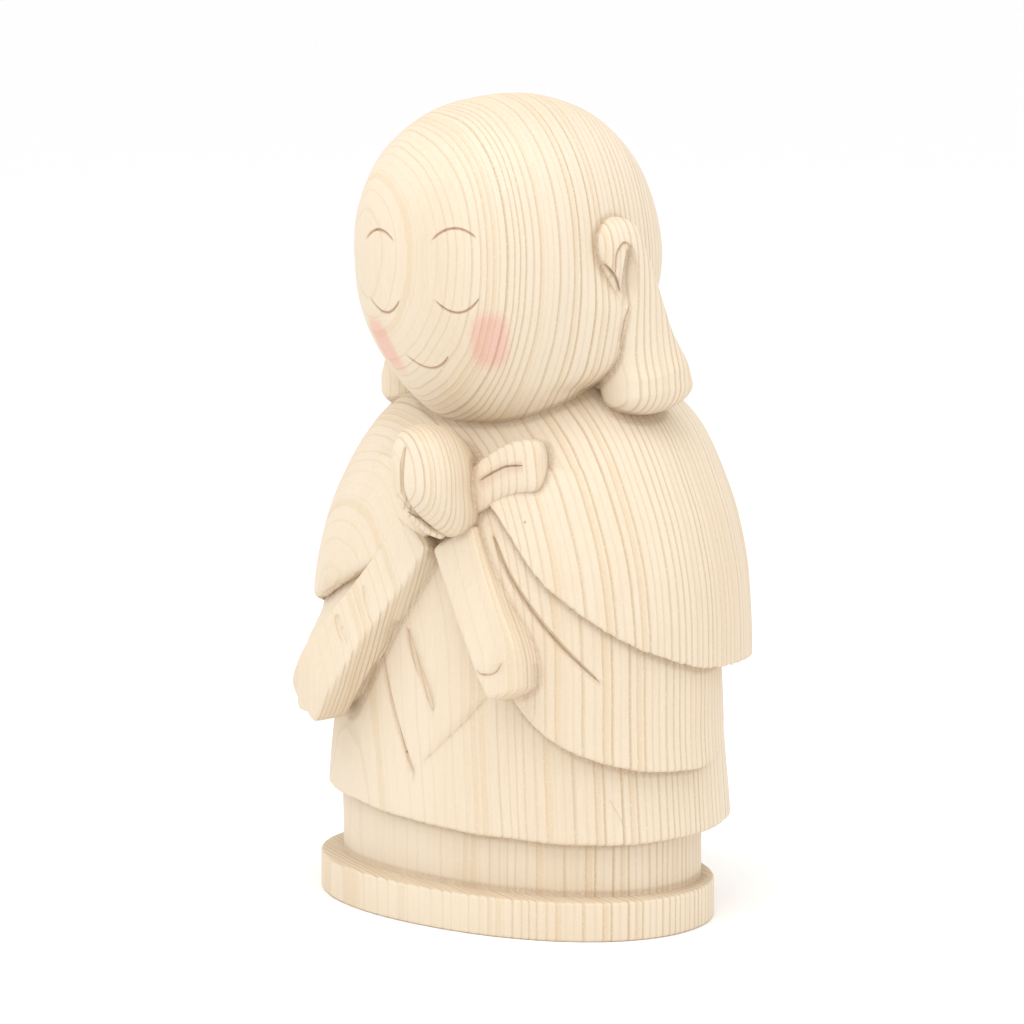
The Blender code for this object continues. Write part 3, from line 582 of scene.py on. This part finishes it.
def ring_faces(count, around):
    """Triangles between rings of points, and two fans that close the first and the last ring."""
    i, j = np.meshgrid(np.arange(count - 1), np.arange(around), indexing="ij")
    k = (j + 1) % around
    a, b, c, d = i * around + j, i * around + k, (i + 1) * around + k, (i + 1) * around + j
    walls = np.concatenate([np.stack([a, b, c], -1).reshape(-1, 3), np.stack([a, c, d], -1).reshape(-1, 3)])
    j = np.arange(around)
    k = (j + 1) % around
    last = (count - 1) * around
    low = np.stack([k, j, 0 * j + count * around], -1)
    high = np.stack([last + j, last + k, 0 * j + count * around + 1], -1)
    return np.concatenate([walls, low, high])


def shell(rows):
    """Points and outward triangles of a closed shell of rings."""
    count, around = rows.shape[:2]
    points = np.concatenate([rows.reshape(-1, 3), rows[0].mean(axis=0)[None], rows[-1].mean(axis=0)[None]])
    faces = ring_faces(count, around)
    a, b, c = (points[faces[:, k]] for k in range(3))
    if np.einsum("ij,ij->i", a, np.cross(b, c)).sum() < 0:
        faces = faces[:, ::-1]
    return points, faces


def mesh_object(name, rings, scale, lift):
    """One object of several closed shells, from millimetres above the disc to metres above the floor."""
    shells = [shell(rows) for rows in rings]
    starts = np.cumsum([0] + [len(points) for points, _ in shells[:-1]])
    points = metres(np.concatenate([points for points, _ in shells]), scale, lift)
    faces = np.concatenate([faces + start for (_, faces), start in zip(shells, starts)])
    mesh = bpy.data.meshes.new(name)
    mesh.vertices.add(len(points))
    mesh.vertices.foreach_set("co", points.astype(np.float32).ravel())
    mesh.loops.add(faces.size)
    mesh.loops.foreach_set("vertex_index", faces.astype(np.int32).ravel())
    mesh.polygons.add(len(faces))
    mesh.polygons.foreach_set("loop_start", np.arange(0, faces.size, 3, dtype=np.int32))
    mesh.update(calc_edges=True)
    mesh.validate()
    obj = bpy.data.objects.new(name, mesh)
    bpy.context.scene.collection.objects.link(obj)
    return obj


def combine(base, tools, operation):
    """The base united with, or cut by, each tool in turn, as a plain mesh; the tools are removed."""
    for tool in tools:
        step = base.modifiers.new(tool.name, "BOOLEAN")
        step.operation = operation
        step.solver = "MANIFOLD"
        step.object = tool
    depsgraph = bpy.context.evaluated_depsgraph_get()
    mesh = bpy.data.meshes.new_from_object(base.evaluated_get(depsgraph))
    base.modifiers.clear()
    old = base.data
    base.data = mesh
    bpy.data.meshes.remove(old)
    for tool in tools:
        bpy.data.objects.remove(tool)


def cut_surface(tree, scale, lift, seen_from, path, width, depth, lean):
    """A V-section carried along a path that is found on the wood by looking at it.

    The place it is seen from is an angle round the figure and, for the head's own axes, its bow and tilt.
    Each ring is bottom, left and right: the bottom lies depth below the wood and the sides stand above
    it by the clearance. Width and depth taper as the root of 1 - (2 s - 1) ^ 4.
    """
    path = np.asarray(path, float)
    t = np.linspace(0, 1, len(path))
    s = np.linspace(0, 1, CUT_STEPS)
    across, up = through(s, t, path[:, 0]), through(s, t, path[:, 1])
    azimuth, axes = seen_from
    turn = np.radians(azimuth)
    near = np.array([np.sin(turn), -np.cos(turn), 0.0])
    ends = across[:, None] * np.array([np.cos(turn), np.sin(turn), 0.0])
    ends = ends + up[:, None] * np.array([0.0, 0.0, 1.0])
    starts = ends + SIGHT_DISTANCE * near
    if axes:
        starts, ends = (turned(p + np.array(HEAD_CENTRE), *axes) for p in (starts, ends))
    look = (ends - starts) / np.linalg.norm(ends - starts, axis=1, keepdims=True)
    starts = metres(starts, scale, lift)
    hits = [tree.ray_cast(Vector(start), Vector(way)) for start, way in zip(starts, look)]
    points = millimetres(np.array([hit[0] for hit in hits]), scale, lift)
    normals = np.array([hit[1] for hit in hits])
    window = np.ones(2 * CUT_STEADY + 1)
    pad = ((CUT_STEADY, CUT_STEADY), (0, 0))
    normals = np.stack([np.convolve(n, window, "valid") for n in np.pad(normals, pad, "edge").T], -1)
    normals /= np.linalg.norm(normals, axis=1, keepdims=True)
    ahead = np.gradient(points, axis=0)
    side = np.cross(ahead, normals)
    side /= np.linalg.norm(side, axis=1, keepdims=True)
    taper = (np.sqrt(np.clip(1 - (2 * s - 1) ** 4, 0, 1)) * (1 - CUT_ENDS) + CUT_ENDS)[:, None]
    bottom = points - normals * depth * taper
    rise = 1 + CUT_CLEARANCE
    left = bottom + (normals * depth + side * width * lean) * taper * rise
    right = bottom + (normals * depth - side * width * (1 - lean)) * taper * rise
    return np.stack([bottom, left, right], 1), points


def nearness(points, paths, reach):
    """Each path's strength on it and 0 away from it: exp of minus the square of distance over reach."""
    near = np.zeros(len(points))
    margin = 3 * reach
    for path, strength in paths:
        low, high = path.min(axis=0) - margin, path.max(axis=0) + margin
        inside = np.all((points > low) & (points < high), axis=1)
        gap = np.linalg.norm(points[inside][:, None] - path[None], axis=2).min(axis=1)
        near[inside] = np.maximum(near[inside], strength * np.exp(-(gap / reach) ** 2))
    return near


# this room measure is the mask of painted shade deep in the creases
def creases(mesh, points, scale, lift):
    """How little room a ball resting on each point has: 1 - distance from its middle to the wood / radius."""
    normals = np.empty(len(mesh.vertices) * 3, np.float32)
    mesh.vertex_normals.foreach_get("vector", normals)
    middles = metres(points + normals.reshape(-1, 3) * CREASE_BALL, scale, lift)
    tree = wood_tree(mesh)
    room = np.array([tree.find_nearest(middle)[3] for middle in map(Vector, middles)]) / (CREASE_BALL * scale)
    return np.clip(1.0 - room, 0.0, 1.0)


def wood_tree(mesh):
    """A search tree of a mesh's faces."""
    points = np.empty(len(mesh.vertices) * 3, np.float32)
    mesh.vertices.foreach_get("co", points)
    faces = [tuple(face.vertices) for face in mesh.polygons]
    return BVHTree.FromPolygons([tuple(point) for point in points.reshape(-1, 3)], faces)


# Materials

class Value:
    """A number on its way through a material; arithmetic on it adds Math nodes."""

    def __init__(self, nodes, socket):
        self.nodes = nodes
        self.socket = socket

    def math(self, operation, *others):
        return self.nodes.add("ShaderNodeMath", {"operation": operation}, dict(enumerate((self,) + others)))

    def __add__(self, other):
        return self.math("ADD", other)

    def __sub__(self, other):
        return self.math("SUBTRACT", other)

    def __mul__(self, other):
        return self.math("MULTIPLY", other)

    def __truediv__(self, other):
        return self.math("DIVIDE", other)

    def __pow__(self, other):
        return self.math("POWER", other)

    def __rsub__(self, other):
        return self.nodes.add("ShaderNodeMath", {"operation": "SUBTRACT"}, {0: other, 1: self})

    def __abs__(self):
        return self.math("ABSOLUTE")

    __radd__ = __add__
    __rmul__ = __mul__

    def clipped(self):
        """This number, held between 0 and 1."""
        return self.math("MAXIMUM", 0.0).math("MINIMUM", 1.0)

    def step(self, low, high):
        """Smooth step from 0 at low to 1 at high, which may be the smaller."""
        return self.nodes.add("ShaderNodeMapRange", {"interpolation_type": "SMOOTHSTEP"},
                              {"Value": self, "From Min": low, "From Max": high})


class Nodes:
    """A material's node tree, and the one way its nodes are put in."""

    def __init__(self, material):
        material.use_nodes = True
        self.tree = material.node_tree
        self.shader = self.tree.nodes["Principled BSDF"]

    def add(self, kind, settings=None, inputs=None, output=0):
        node = self.tree.nodes.new(kind)
        for name, value in (settings or {}).items():
            setattr(node, name, value)
        for key, value in (inputs or {}).items():
            self.feed(node.inputs[key], value)
        return Value(self, node.outputs[output])

    def feed(self, socket, value):
        if isinstance(value, Value):
            self.tree.links.new(value.socket, socket)
        else:
            socket.default_value = value

    def parts(self, vector):
        return [self.add("ShaderNodeSeparateXYZ", None, {0: vector}, k) for k in range(3)]

    def point(self, x, y, z):
        return self.add("ShaderNodeCombineXYZ", None, {0: x, 1: y, 2: z})

    def noise(self, place, detail, roughness, scale):
        """Fractal noise about 0, roughly from -0.5 to 0.5."""
        return self.add("ShaderNodeTexNoise", None, {"Vector": place, "Scale": scale, "Detail": detail,
                                                     "Roughness": roughness}) - 0.5

    def blend(self, factor, first, second, how="MIX"):
        """First colour over to second; a colour mix has them on sockets 6 and 7 and its result on 2."""
        return self.add("ShaderNodeMix", {"data_type": "RGBA", "blend_type": how},
                        {0: factor, 6: first, 7: second}, 2)


def wood_material(carving, wood):
    """Softwood: rings about a far pith, fine fibres, dark end grain, burnished cuts with painted shade in
    their grooves, painted shade in the creases, a painted highlight towards the crown, and rouge.
    """
    material = bpy.data.materials.new("jizo_softwood")
    nodes = Nodes(material)
    shader = nodes.shader
    place = nodes.add("ShaderNodeTexCoord", output="Object")
    place = nodes.add("ShaderNodeVectorMath", {"operation": "SCALE"}, {0: place, "Scale": 1 / MM})
    x, y, z = nodes.parts(place)

    # rings: the distance from the pith, bent a little by slow noise, counted in ring widths. They lie
    # closer together in the sapwood, and each is a pale band that darkens into a thin line of late wood
    across = nodes.point(x, y, z * 0.10)
    sway = (nodes.noise(across, 1.0, 0.5, 0.030) * RING_SWAY
            + nodes.noise(across, 1.0, 0.5, 0.14) * RING_QUIVER)
    east, north = x - wood.pith[0] / MM, y - wood.pith[1] / MM
    reach = (east * east + north * north) ** 0.5
    bent = reach + sway
    past = bent - wood.sapwood / MM
    crowd = (past * past + CROWDING_BLEND ** 2) ** 0.5 + past
    turns = (bent + crowd * wood.crowding) / (wood.ring_width / MM)
    turns = turns + nodes.add("ShaderNodeTexNoise", {"noise_dimensions": "1D"},
                              {"W": turns, "Scale": 0.30, "Detail": 1.0}) * 0.7
    ring = turns.math("FLOOR")
    phase = turns - ring
    own = nodes.add("ShaderNodeTexWhiteNoise", {"noise_dimensions": "1D"}, {"W": ring})
    own_warmth = nodes.add("ShaderNodeTexWhiteNoise", {"noise_dimensions": "1D"}, {"W": ring + 71.3})
    nx, ny, nz = nodes.parts(nodes.add("ShaderNodeNewGeometry", output="Normal"))
    flat_sawn = abs((nx * east + ny * north) / reach).step(*FLAT_SAWN)
    low, high = (begins + shift * flat_sawn for begins, shift in zip(LATE_BEGINS, LATE_SHIFT))
    late = phase.step(low, high) * phase.step(*LATE_ENDS)
    late = late * (own * 0.90 + 0.18) * (1.0 - 0.74 * flat_sawn)
    band = phase.step(0.0, 0.45) * phase.step(1.0, 0.80) * own_warmth.step(0.62, 0.95)

    # fibres and flecks: noise drawn out along the grain, or across it where its share of the height is large
    fibre, fine, broad, crackle, fleck, grit, speckle = (
        nodes.noise(nodes.point(x * wide, y * wide, z * tall), *look)
        for wide, tall, *look in (FIBRE, FINE_FIBRE, BROAD_TINT, CRACKLE, FLECK, GRIT, SPECKLE))

    # end grain, where the wood faces up or down
    end_grain = abs(nz).step(*END_GRAIN)

    colour = nodes.blend(late, (*wood.early, 1.0), (*wood.late, 1.0))
    tint = (broad * 1.7 + fibre * 1.2 + fleck * 1.4 + grit * 1.1 + band * 0.7 + 0.18).clipped()
    colour = nodes.blend(tint * WARM_SHARE, colour, (*wood.warm, 1.0))
    # pale flecks, and a painted highlight: the pale colour laid on more towards the crown, from 150 to 181 mm
    # up
    pale = (fleck * 3.6 + grit * 1.6 - 0.16 + 0.45 * z.step(150.0, 181.0)).clipped()
    colour = nodes.blend(pale * PALE_AND_HIGHLIGHT_SHARE, colour, (*wood.pale, 1.0))
    colour = nodes.blend((end_grain * (0.22 + speckle * 1.4)).clipped(), colour, (*wood.end, 1.0))
    cut, crease = (nodes.add("ShaderNodeAttribute", {"attribute_name": name}, output="Fac")
                   for name in ("cut", "crease"))
    # burnished wood along the chisel cuts, which is also painted shade in the grooves
    colour = nodes.blend(cut * CUT_SHARE, colour, (*wood.burnished_and_shaded, 1.0))
    # painted shade deep in the creases, where a ball has little room, broken up by noise like torn fibres
    crease_shade_mask = (crease.step(0.10, 0.70) * (0.75 + fleck * 2.6 + crackle * 1.4)).clipped()
    colour = nodes.blend(crease_shade_mask * CREASE_SHADE_SHARE, colour, (*wood.shade_and_torn_fibres, 1.0))
    for middle, size, strength in KNOTS:
        away = nodes.add("ShaderNodeVectorMath", {"operation": "DISTANCE"},
                         {0: place, 1: above_floor(middle, carving)}, "Value")
        colour = nodes.blend(away.step(size, size * KNOT_CORE) * strength, colour, (*wood.burnished_and_shaded, 1.0))

    # hair-thin face lines, in the head's own axes
    middle = above_floor(HEAD_CENTRE, carving)
    axes = nodes.add("ShaderNodeVectorMath", {"operation": "SUBTRACT"}, {0: place, 1: middle})
    axes = nodes.add("ShaderNodeVectorRotate", {"rotation_type": "EULER_XYZ", "invert": True},
                     {"Vector": axes, "Rotation": (np.radians(BOW), np.radians(TILT), 0.0)})
    hx, hy, hz = nodes.parts(axes)
    front = hy.step(*ON_FRONT)
    lines = None
    for side, (mid, level, half, rise) in face_arcs():
        s = (hx - side * mid) / half
        bend = s * s
        gap = abs(hz - (level + rise) + bend * rise) / (bend * (2 * rise / half) ** 2 + 1.0) ** 0.5
        line = gap.step(*LINE_FADE) * abs(s).step(*LINE_END_FADE)
        lines = line if lines is None else lines.math("MAXIMUM", line)
    colour = nodes.blend(lines * front * LINE_SHARE, colour, (*wood.burnished_and_shaded, 1.0))

    # rouge on both cheeks: rounded oblongs, upright as seen from half left and half right
    for azimuth, (mid, level), (half_across, half_up) in ROUGE:
        turn = np.radians(azimuth)
        across_it = abs(x * np.cos(turn) + y * np.sin(turn) - mid) / half_across
        up_it = abs(z - (level + carving.disc_thickness / MM)) / half_up
        away = (across_it ** ROUGE_POWER + up_it ** ROUGE_POWER) ** (1 / ROUGE_POWER)
        before = (x * -np.sin(turn) + y * np.cos(turn)).step(*ON_FRONT)
        patch = (away + crackle * 0.22 + fleck * 0.3).step(*ROUGE_FADE) * before
        colour = nodes.blend(patch * ROUGE_SHARE, colour, (*wood.rouge, 1.0), "MULTIPLY")

    nodes.feed(shader.inputs["Base Color"], colour)
    roughness = WOOD_ROUGHNESS - late * 0.10 + end_grain * 0.2 + fibre * 0.10
    nodes.feed(shader.inputs["Roughness"], roughness)
    shader.inputs["Specular IOR Level"].default_value = WOOD_SPECULAR
    height = late * 0.35 + fibre * 0.7 + fine * 0.4 + crackle * 0.35 + fleck * 0.4 + speckle * end_grain * 1.4
    bump = nodes.add("ShaderNodeBump", None,
                     {"Height": height, "Strength": BUMP_STRENGTH, "Distance": BUMP_DISTANCE})
    nodes.feed(shader.inputs["Normal"], bump)
    return material


def above_floor(spot, carving):
    """A place in millimetres above the disc, as one above the floor."""
    return spot[0], spot[1], spot[2] + carving.disc_thickness / MM


def face_arcs():
    """Each face line as its side and (middle, level, half width, rise) over the head's middle."""
    arcs = []
    for side in (1, -1):
        arcs.append((side, BROW))
        arcs.append((side, (*EYE[:3], -EYE[3])))
    arcs.append((1, (*SMILE[:3], -SMILE[3])))
    return arcs


# The add-on

class JizoCarving(bpy.types.PropertyGroup):
    """Sizes of the carving."""
    figure_height: FloatProperty(name="Figure height", description="From the top of the disc to the crown",
                                 default=0.1713, unit="LENGTH")
    disc_width: FloatProperty(name="Disc width", description="Across the oval disc, side to side",
                              default=0.0976, unit="LENGTH")
    disc_depth: FloatProperty(name="Disc depth", description="Across the oval disc, front to back",
                              default=0.0656, unit="LENGTH")
    disc_thickness: FloatProperty(name="Disc thickness", description="Height of the oval disc",
                                  default=0.0087, unit="LENGTH")
    disc_edge: FloatProperty(name="Disc edge", description="Radius of the disc's broken edges",
                             default=0.0007, unit="LENGTH")
    tool_marks: FloatProperty(name="Tool marks", description="Depth of the knife's shallow hollows",
                              default=0.00009, unit="LENGTH")
    hem_fray: FloatProperty(name="Hem fray", description="Unevenness of the cut hems",
                            default=0.00022, unit="LENGTH")


class JizoWood(bpy.types.PropertyGroup):
    """Colours and grain of the wood, with the colours of its painted shade and painted highlight."""
    ring_width: FloatProperty(name="Ring width", description="From one growth ring to the next",
                              default=0.00164, unit="LENGTH")
    sapwood: FloatProperty(name="Sapwood", description="Distance from the pith past which rings crowd",
                           default=0.368, unit="LENGTH")
    crowding: FloatProperty(name="Crowding", description="How many more rings there are out there, halved",
                            default=0.24)
    pith: FloatVectorProperty(name="Pith", description="Where the growth rings' middle stands, x and y",
                              size=2, default=(0.150, 0.320), unit="LENGTH")
    early: FloatVectorProperty(name="Early wood", description="Pale wood between the ring lines",
                               subtype="COLOR", size=3, default=(0.735, 0.628, 0.487))
    late: FloatVectorProperty(name="Late wood", description="Ring lines",
                              subtype="COLOR", size=3, default=(0.55, 0.41, 0.265))
    warm: FloatVectorProperty(name="Warm streaks", description="Broad warmer streaks",
                              subtype="COLOR", size=3, default=(0.655, 0.505, 0.33))
    # also laid over the crown as a painted highlight
    pale: FloatVectorProperty(name="Flecks", description="Pale flecks of lifted fibre",
                              subtype="COLOR", size=3, default=(0.84, 0.76, 0.63))
    end: FloatVectorProperty(name="End grain", description="Wood cut across the grain",
                             subtype="COLOR", size=3, default=(0.50, 0.375, 0.24))
    # colour of the painted shade in the creases, with torn fibres
    shade_and_torn_fibres: FloatVectorProperty(name="Creases", description="Torn, darker fibres deep in the creases",
                              subtype="COLOR", size=3, default=(0.42, 0.30, 0.19))
    # burnished wood of the cuts and knots, and the painted shade along the chisel grooves
    burnished_and_shaded: FloatVectorProperty(name="Cuts", description="Burnished wood in the chisel cuts",
                                   subtype="COLOR", size=3, default=(0.36, 0.17, 0.08))
    rouge: FloatVectorProperty(name="Rouge", description="Tint of the cheeks",
                               subtype="COLOR", size=3, default=(1.0, 0.60, 0.66))


class JizoStage(bpy.types.PropertyGroup):
    """Camera, light and floor."""
    azimuth: FloatProperty(name="Camera azimuth", description="Towards the figure's left from its front",
                           default=38.0)
    pitch: FloatProperty(name="Camera pitch", description="Downwards, in degrees", default=8.17)
    distance: FloatProperty(name="Camera distance", description="From the aim", default=0.850, unit="LENGTH")
    lens: FloatProperty(name="Lens", description="Focal length in millimetres", default=134.8)
    aim: FloatVectorProperty(name="Aim", description="What the camera looks at", size=3,
                             default=(-0.000473, -0.000369, 0.08754), unit="LENGTH")
    floor: FloatVectorProperty(name="Floor", description="Colour of the floor", subtype="COLOR", size=3,
                               default=(0.95, 0.95, 0.95))
    key: FloatProperty(name="Key light", description="Power of the large soft light", default=2.95)
    world: FloatProperty(name="Surroundings", description="Strength of the white surroundings", default=1.04)


class JizoCarve(bpy.types.Operator):
    """Carves the figure and its disc from one block and gives them their wood"""
    bl_idname = "jizo.carve"
    bl_label = "Carve the statue"

    def execute(self, context):
        carving, wood = context.scene.jizo_carving, context.scene.jizo_wood
        scale = carving.figure_height / DRAWN_HEIGHT
        lift = carving.disc_thickness
        marks = carving.tool_marks / scale
        angles = np.concatenate([np.linspace(a, b, n, endpoint=False) for a, b, n in
                                 zip(BODY_AROUND[0], BODY_AROUND[0][1:], BODY_AROUND[1])])
        robes = robes_surface(np.radians(angles), marks, carving.hem_fray / scale)
        piece = mesh_object("carved_jizo", [robes], scale, lift)
        disc = disc_surface(*(size / scale for size in (carving.disc_width, carving.disc_depth,
                                                        carving.disc_thickness, carving.disc_edge)))
        groups = (
            [disc, head_surface(marks), mouth_surface(1)],
            [ear_surface(1), ear_surface(-1), mouth_surface(-1)],
            [nape_surface(), hands_surface()],
            [cuff_surface()],
            [bar_surface(LOOP_LINE, LOOP_WIDTH, LOOP_DEPTH, LOOP_LEAN, LOOP_GRID, LOOP_POWER)],
        )
        forms = [mesh_object("form_%d" % k, rings, scale, lift) for k, rings in enumerate(groups)]
        combine(piece, forms, "UNION")

        tree = wood_tree(piece.data)
        cuts, paths = [], []
        for side, (mid, level, half, rise) in face_arcs():
            path = arc(side * mid, level, half, rise)
            section, _ = cut_surface(tree, scale, lift, (0.0, (BOW, TILT)), path, *FACE_LINE)
            cuts.append(section)
        for seen_from, path, width, depth, lean, burnish_and_shade in CUTS:
            section, found = cut_surface(tree, scale, lift, seen_from, path, width, depth, lean)
            cuts.append(section)
            paths.append((found, burnish_and_shade))
        for side in (1, -1):
            cuts.append(hollow_surface(side))
            for path, width, depth, lean, burnish_and_shade in EAR_CUTS:
                path = np.array(path) * (side, 1)
                section, found = cut_surface(tree, scale, lift, (side * EAR_SEEN_FROM, (0.0, TILT)), path,
                                             width, depth, lean if side > 0 else 1 - lean)
                cuts.append(section)
                paths.append((found, burnish_and_shade))
        tools = [mesh_object("cuts_%d" % k, [cut], scale, lift) for k, cut in enumerate(cuts)]
        combine(piece, tools, "DIFFERENCE")

        mesh = piece.data
        points = np.empty(len(mesh.vertices) * 3, np.float32)
        mesh.vertices.foreach_get("co", points)
        points = millimetres(points.reshape(-1, 3), scale, lift)
        for name, values in (("cut", nearness(points, paths, CUT_REACH)),
                             ("crease", creases(mesh, points, scale, lift))):
            mesh.attributes.new(name, "FLOAT", "POINT").data.foreach_set("value", values)
        mesh.shade_smooth()
        mesh.set_sharp_from_angle(angle=np.radians(SHARP_EDGE))
        mesh.materials.clear()
        mesh.materials.append(wood_material(carving, wood))
        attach(piece, "root")
        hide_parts(NODE)
        return {"FINISHED"}


class JizoSetStage(bpy.types.Operator):
    """Sets the pale floor, the soft light and the camera"""
    bl_idname = "jizo.set_stage"
    bl_label = "Set the stage"

    def execute(self, context):
        scene, stage = context.scene, context.scene.jizo_stage
        mesh = bpy.data.meshes.new("floor")
        corners = ((-1, -1), (1, -1), (1, 1), (-1, 1))
        mesh.from_pydata([(FLOOR_REACH * x, FLOOR_REACH * y, 0) for x, y in corners], [], [(0, 1, 2, 3)])
        floor = bpy.data.objects.new("floor", mesh)
        scene.collection.objects.link(floor)
        pale = bpy.data.materials.new("pale_floor")
        shader = Nodes(pale).shader
        shader.inputs["Base Color"].default_value = (*stage.floor, 1.0)
        shader.inputs["Roughness"].default_value = FLOOR_ROUGHNESS
        mesh.materials.append(pale)

        world = bpy.data.worlds.new("surroundings")
        world.use_nodes = True
        glow = world.node_tree.nodes["Background"]
        glow.inputs["Color"].default_value = (1.0, 1.0, 1.0, 1.0)
        glow.inputs["Strength"].default_value = stage.world
        scene.world = world

        aim = Vector(stage.aim)
        azimuth, pitch = np.radians(stage.azimuth), np.radians(stage.pitch)

        def place(obj, spot):
            obj.location = spot
            obj.rotation_euler = (aim - Vector(spot)).to_track_quat("-Z", "Y").to_euler()
            scene.collection.objects.link(obj)

        for name, turn, high, far, size, share in LIGHTS:
            light = bpy.data.lights.new(name, "AREA")
            light.shape = "DISK"
            light.size = size
            light.energy = stage.key * share
            side, up = azimuth + np.radians(turn), np.radians(high)
            spot = (far * np.sin(side) * np.cos(up), -far * np.cos(side) * np.cos(up), far * np.sin(up))
            place(bpy.data.objects.new(name, light), aim + Vector(spot))

        camera = bpy.data.cameras.new("camera")
        camera.lens = stage.lens
        camera.sensor_width = 36.0
        camera.clip_start = 0.01
        seat = bpy.data.objects.new("camera", camera)
        way = (np.sin(azimuth) * np.cos(pitch), -np.cos(azimuth) * np.cos(pitch), np.sin(pitch))
        place(seat, aim + Vector(way) * stage.distance)
        scene.camera = seat
        scene.view_settings.view_transform = "Standard"
        return {"FINISHED"}


class JizoPanel(bpy.types.Panel):
    """Lists the steps and what they are made from"""
    bl_idname = "VIEW3D_PT_jizo"
    bl_label = "Jizo"
    bl_space_type = "VIEW_3D"
    bl_region_type = "UI"
    bl_category = "Jizo"

    def draw(self, context):
        scene = context.scene
        for settings, steps in ((scene.jizo_carving, ()), (scene.jizo_wood, (JizoCarve,)),
                                (scene.jizo_stage, (JizoSetStage,))):
            box = self.layout.box()
            for name in settings.__annotations__:
                box.prop(settings, name)
            for step in steps:
                box.operator(step.bl_idname)


CLASSES = (JizoCarving, JizoWood, JizoStage, JizoCarve, JizoSetStage, JizoPanel)
SETTINGS = {"jizo_carving": JizoCarving, "jizo_wood": JizoWood, "jizo_stage": JizoStage}


def register():
    for cls in CLASSES:
        bpy.utils.register_class(cls)
    for name, group in SETTINGS.items():
        setattr(bpy.types.Scene, name, PointerProperty(type=group))


def unregister():
    for name in SETTINGS:
        delattr(bpy.types.Scene, name)
    for cls in reversed(CLASSES):
        bpy.utils.unregister_class(cls)


def main():
    register()
    bpy.ops.jizo.carve()
    bpy.ops.jizo.set_stage()


if __name__ == "__main__":
    main()
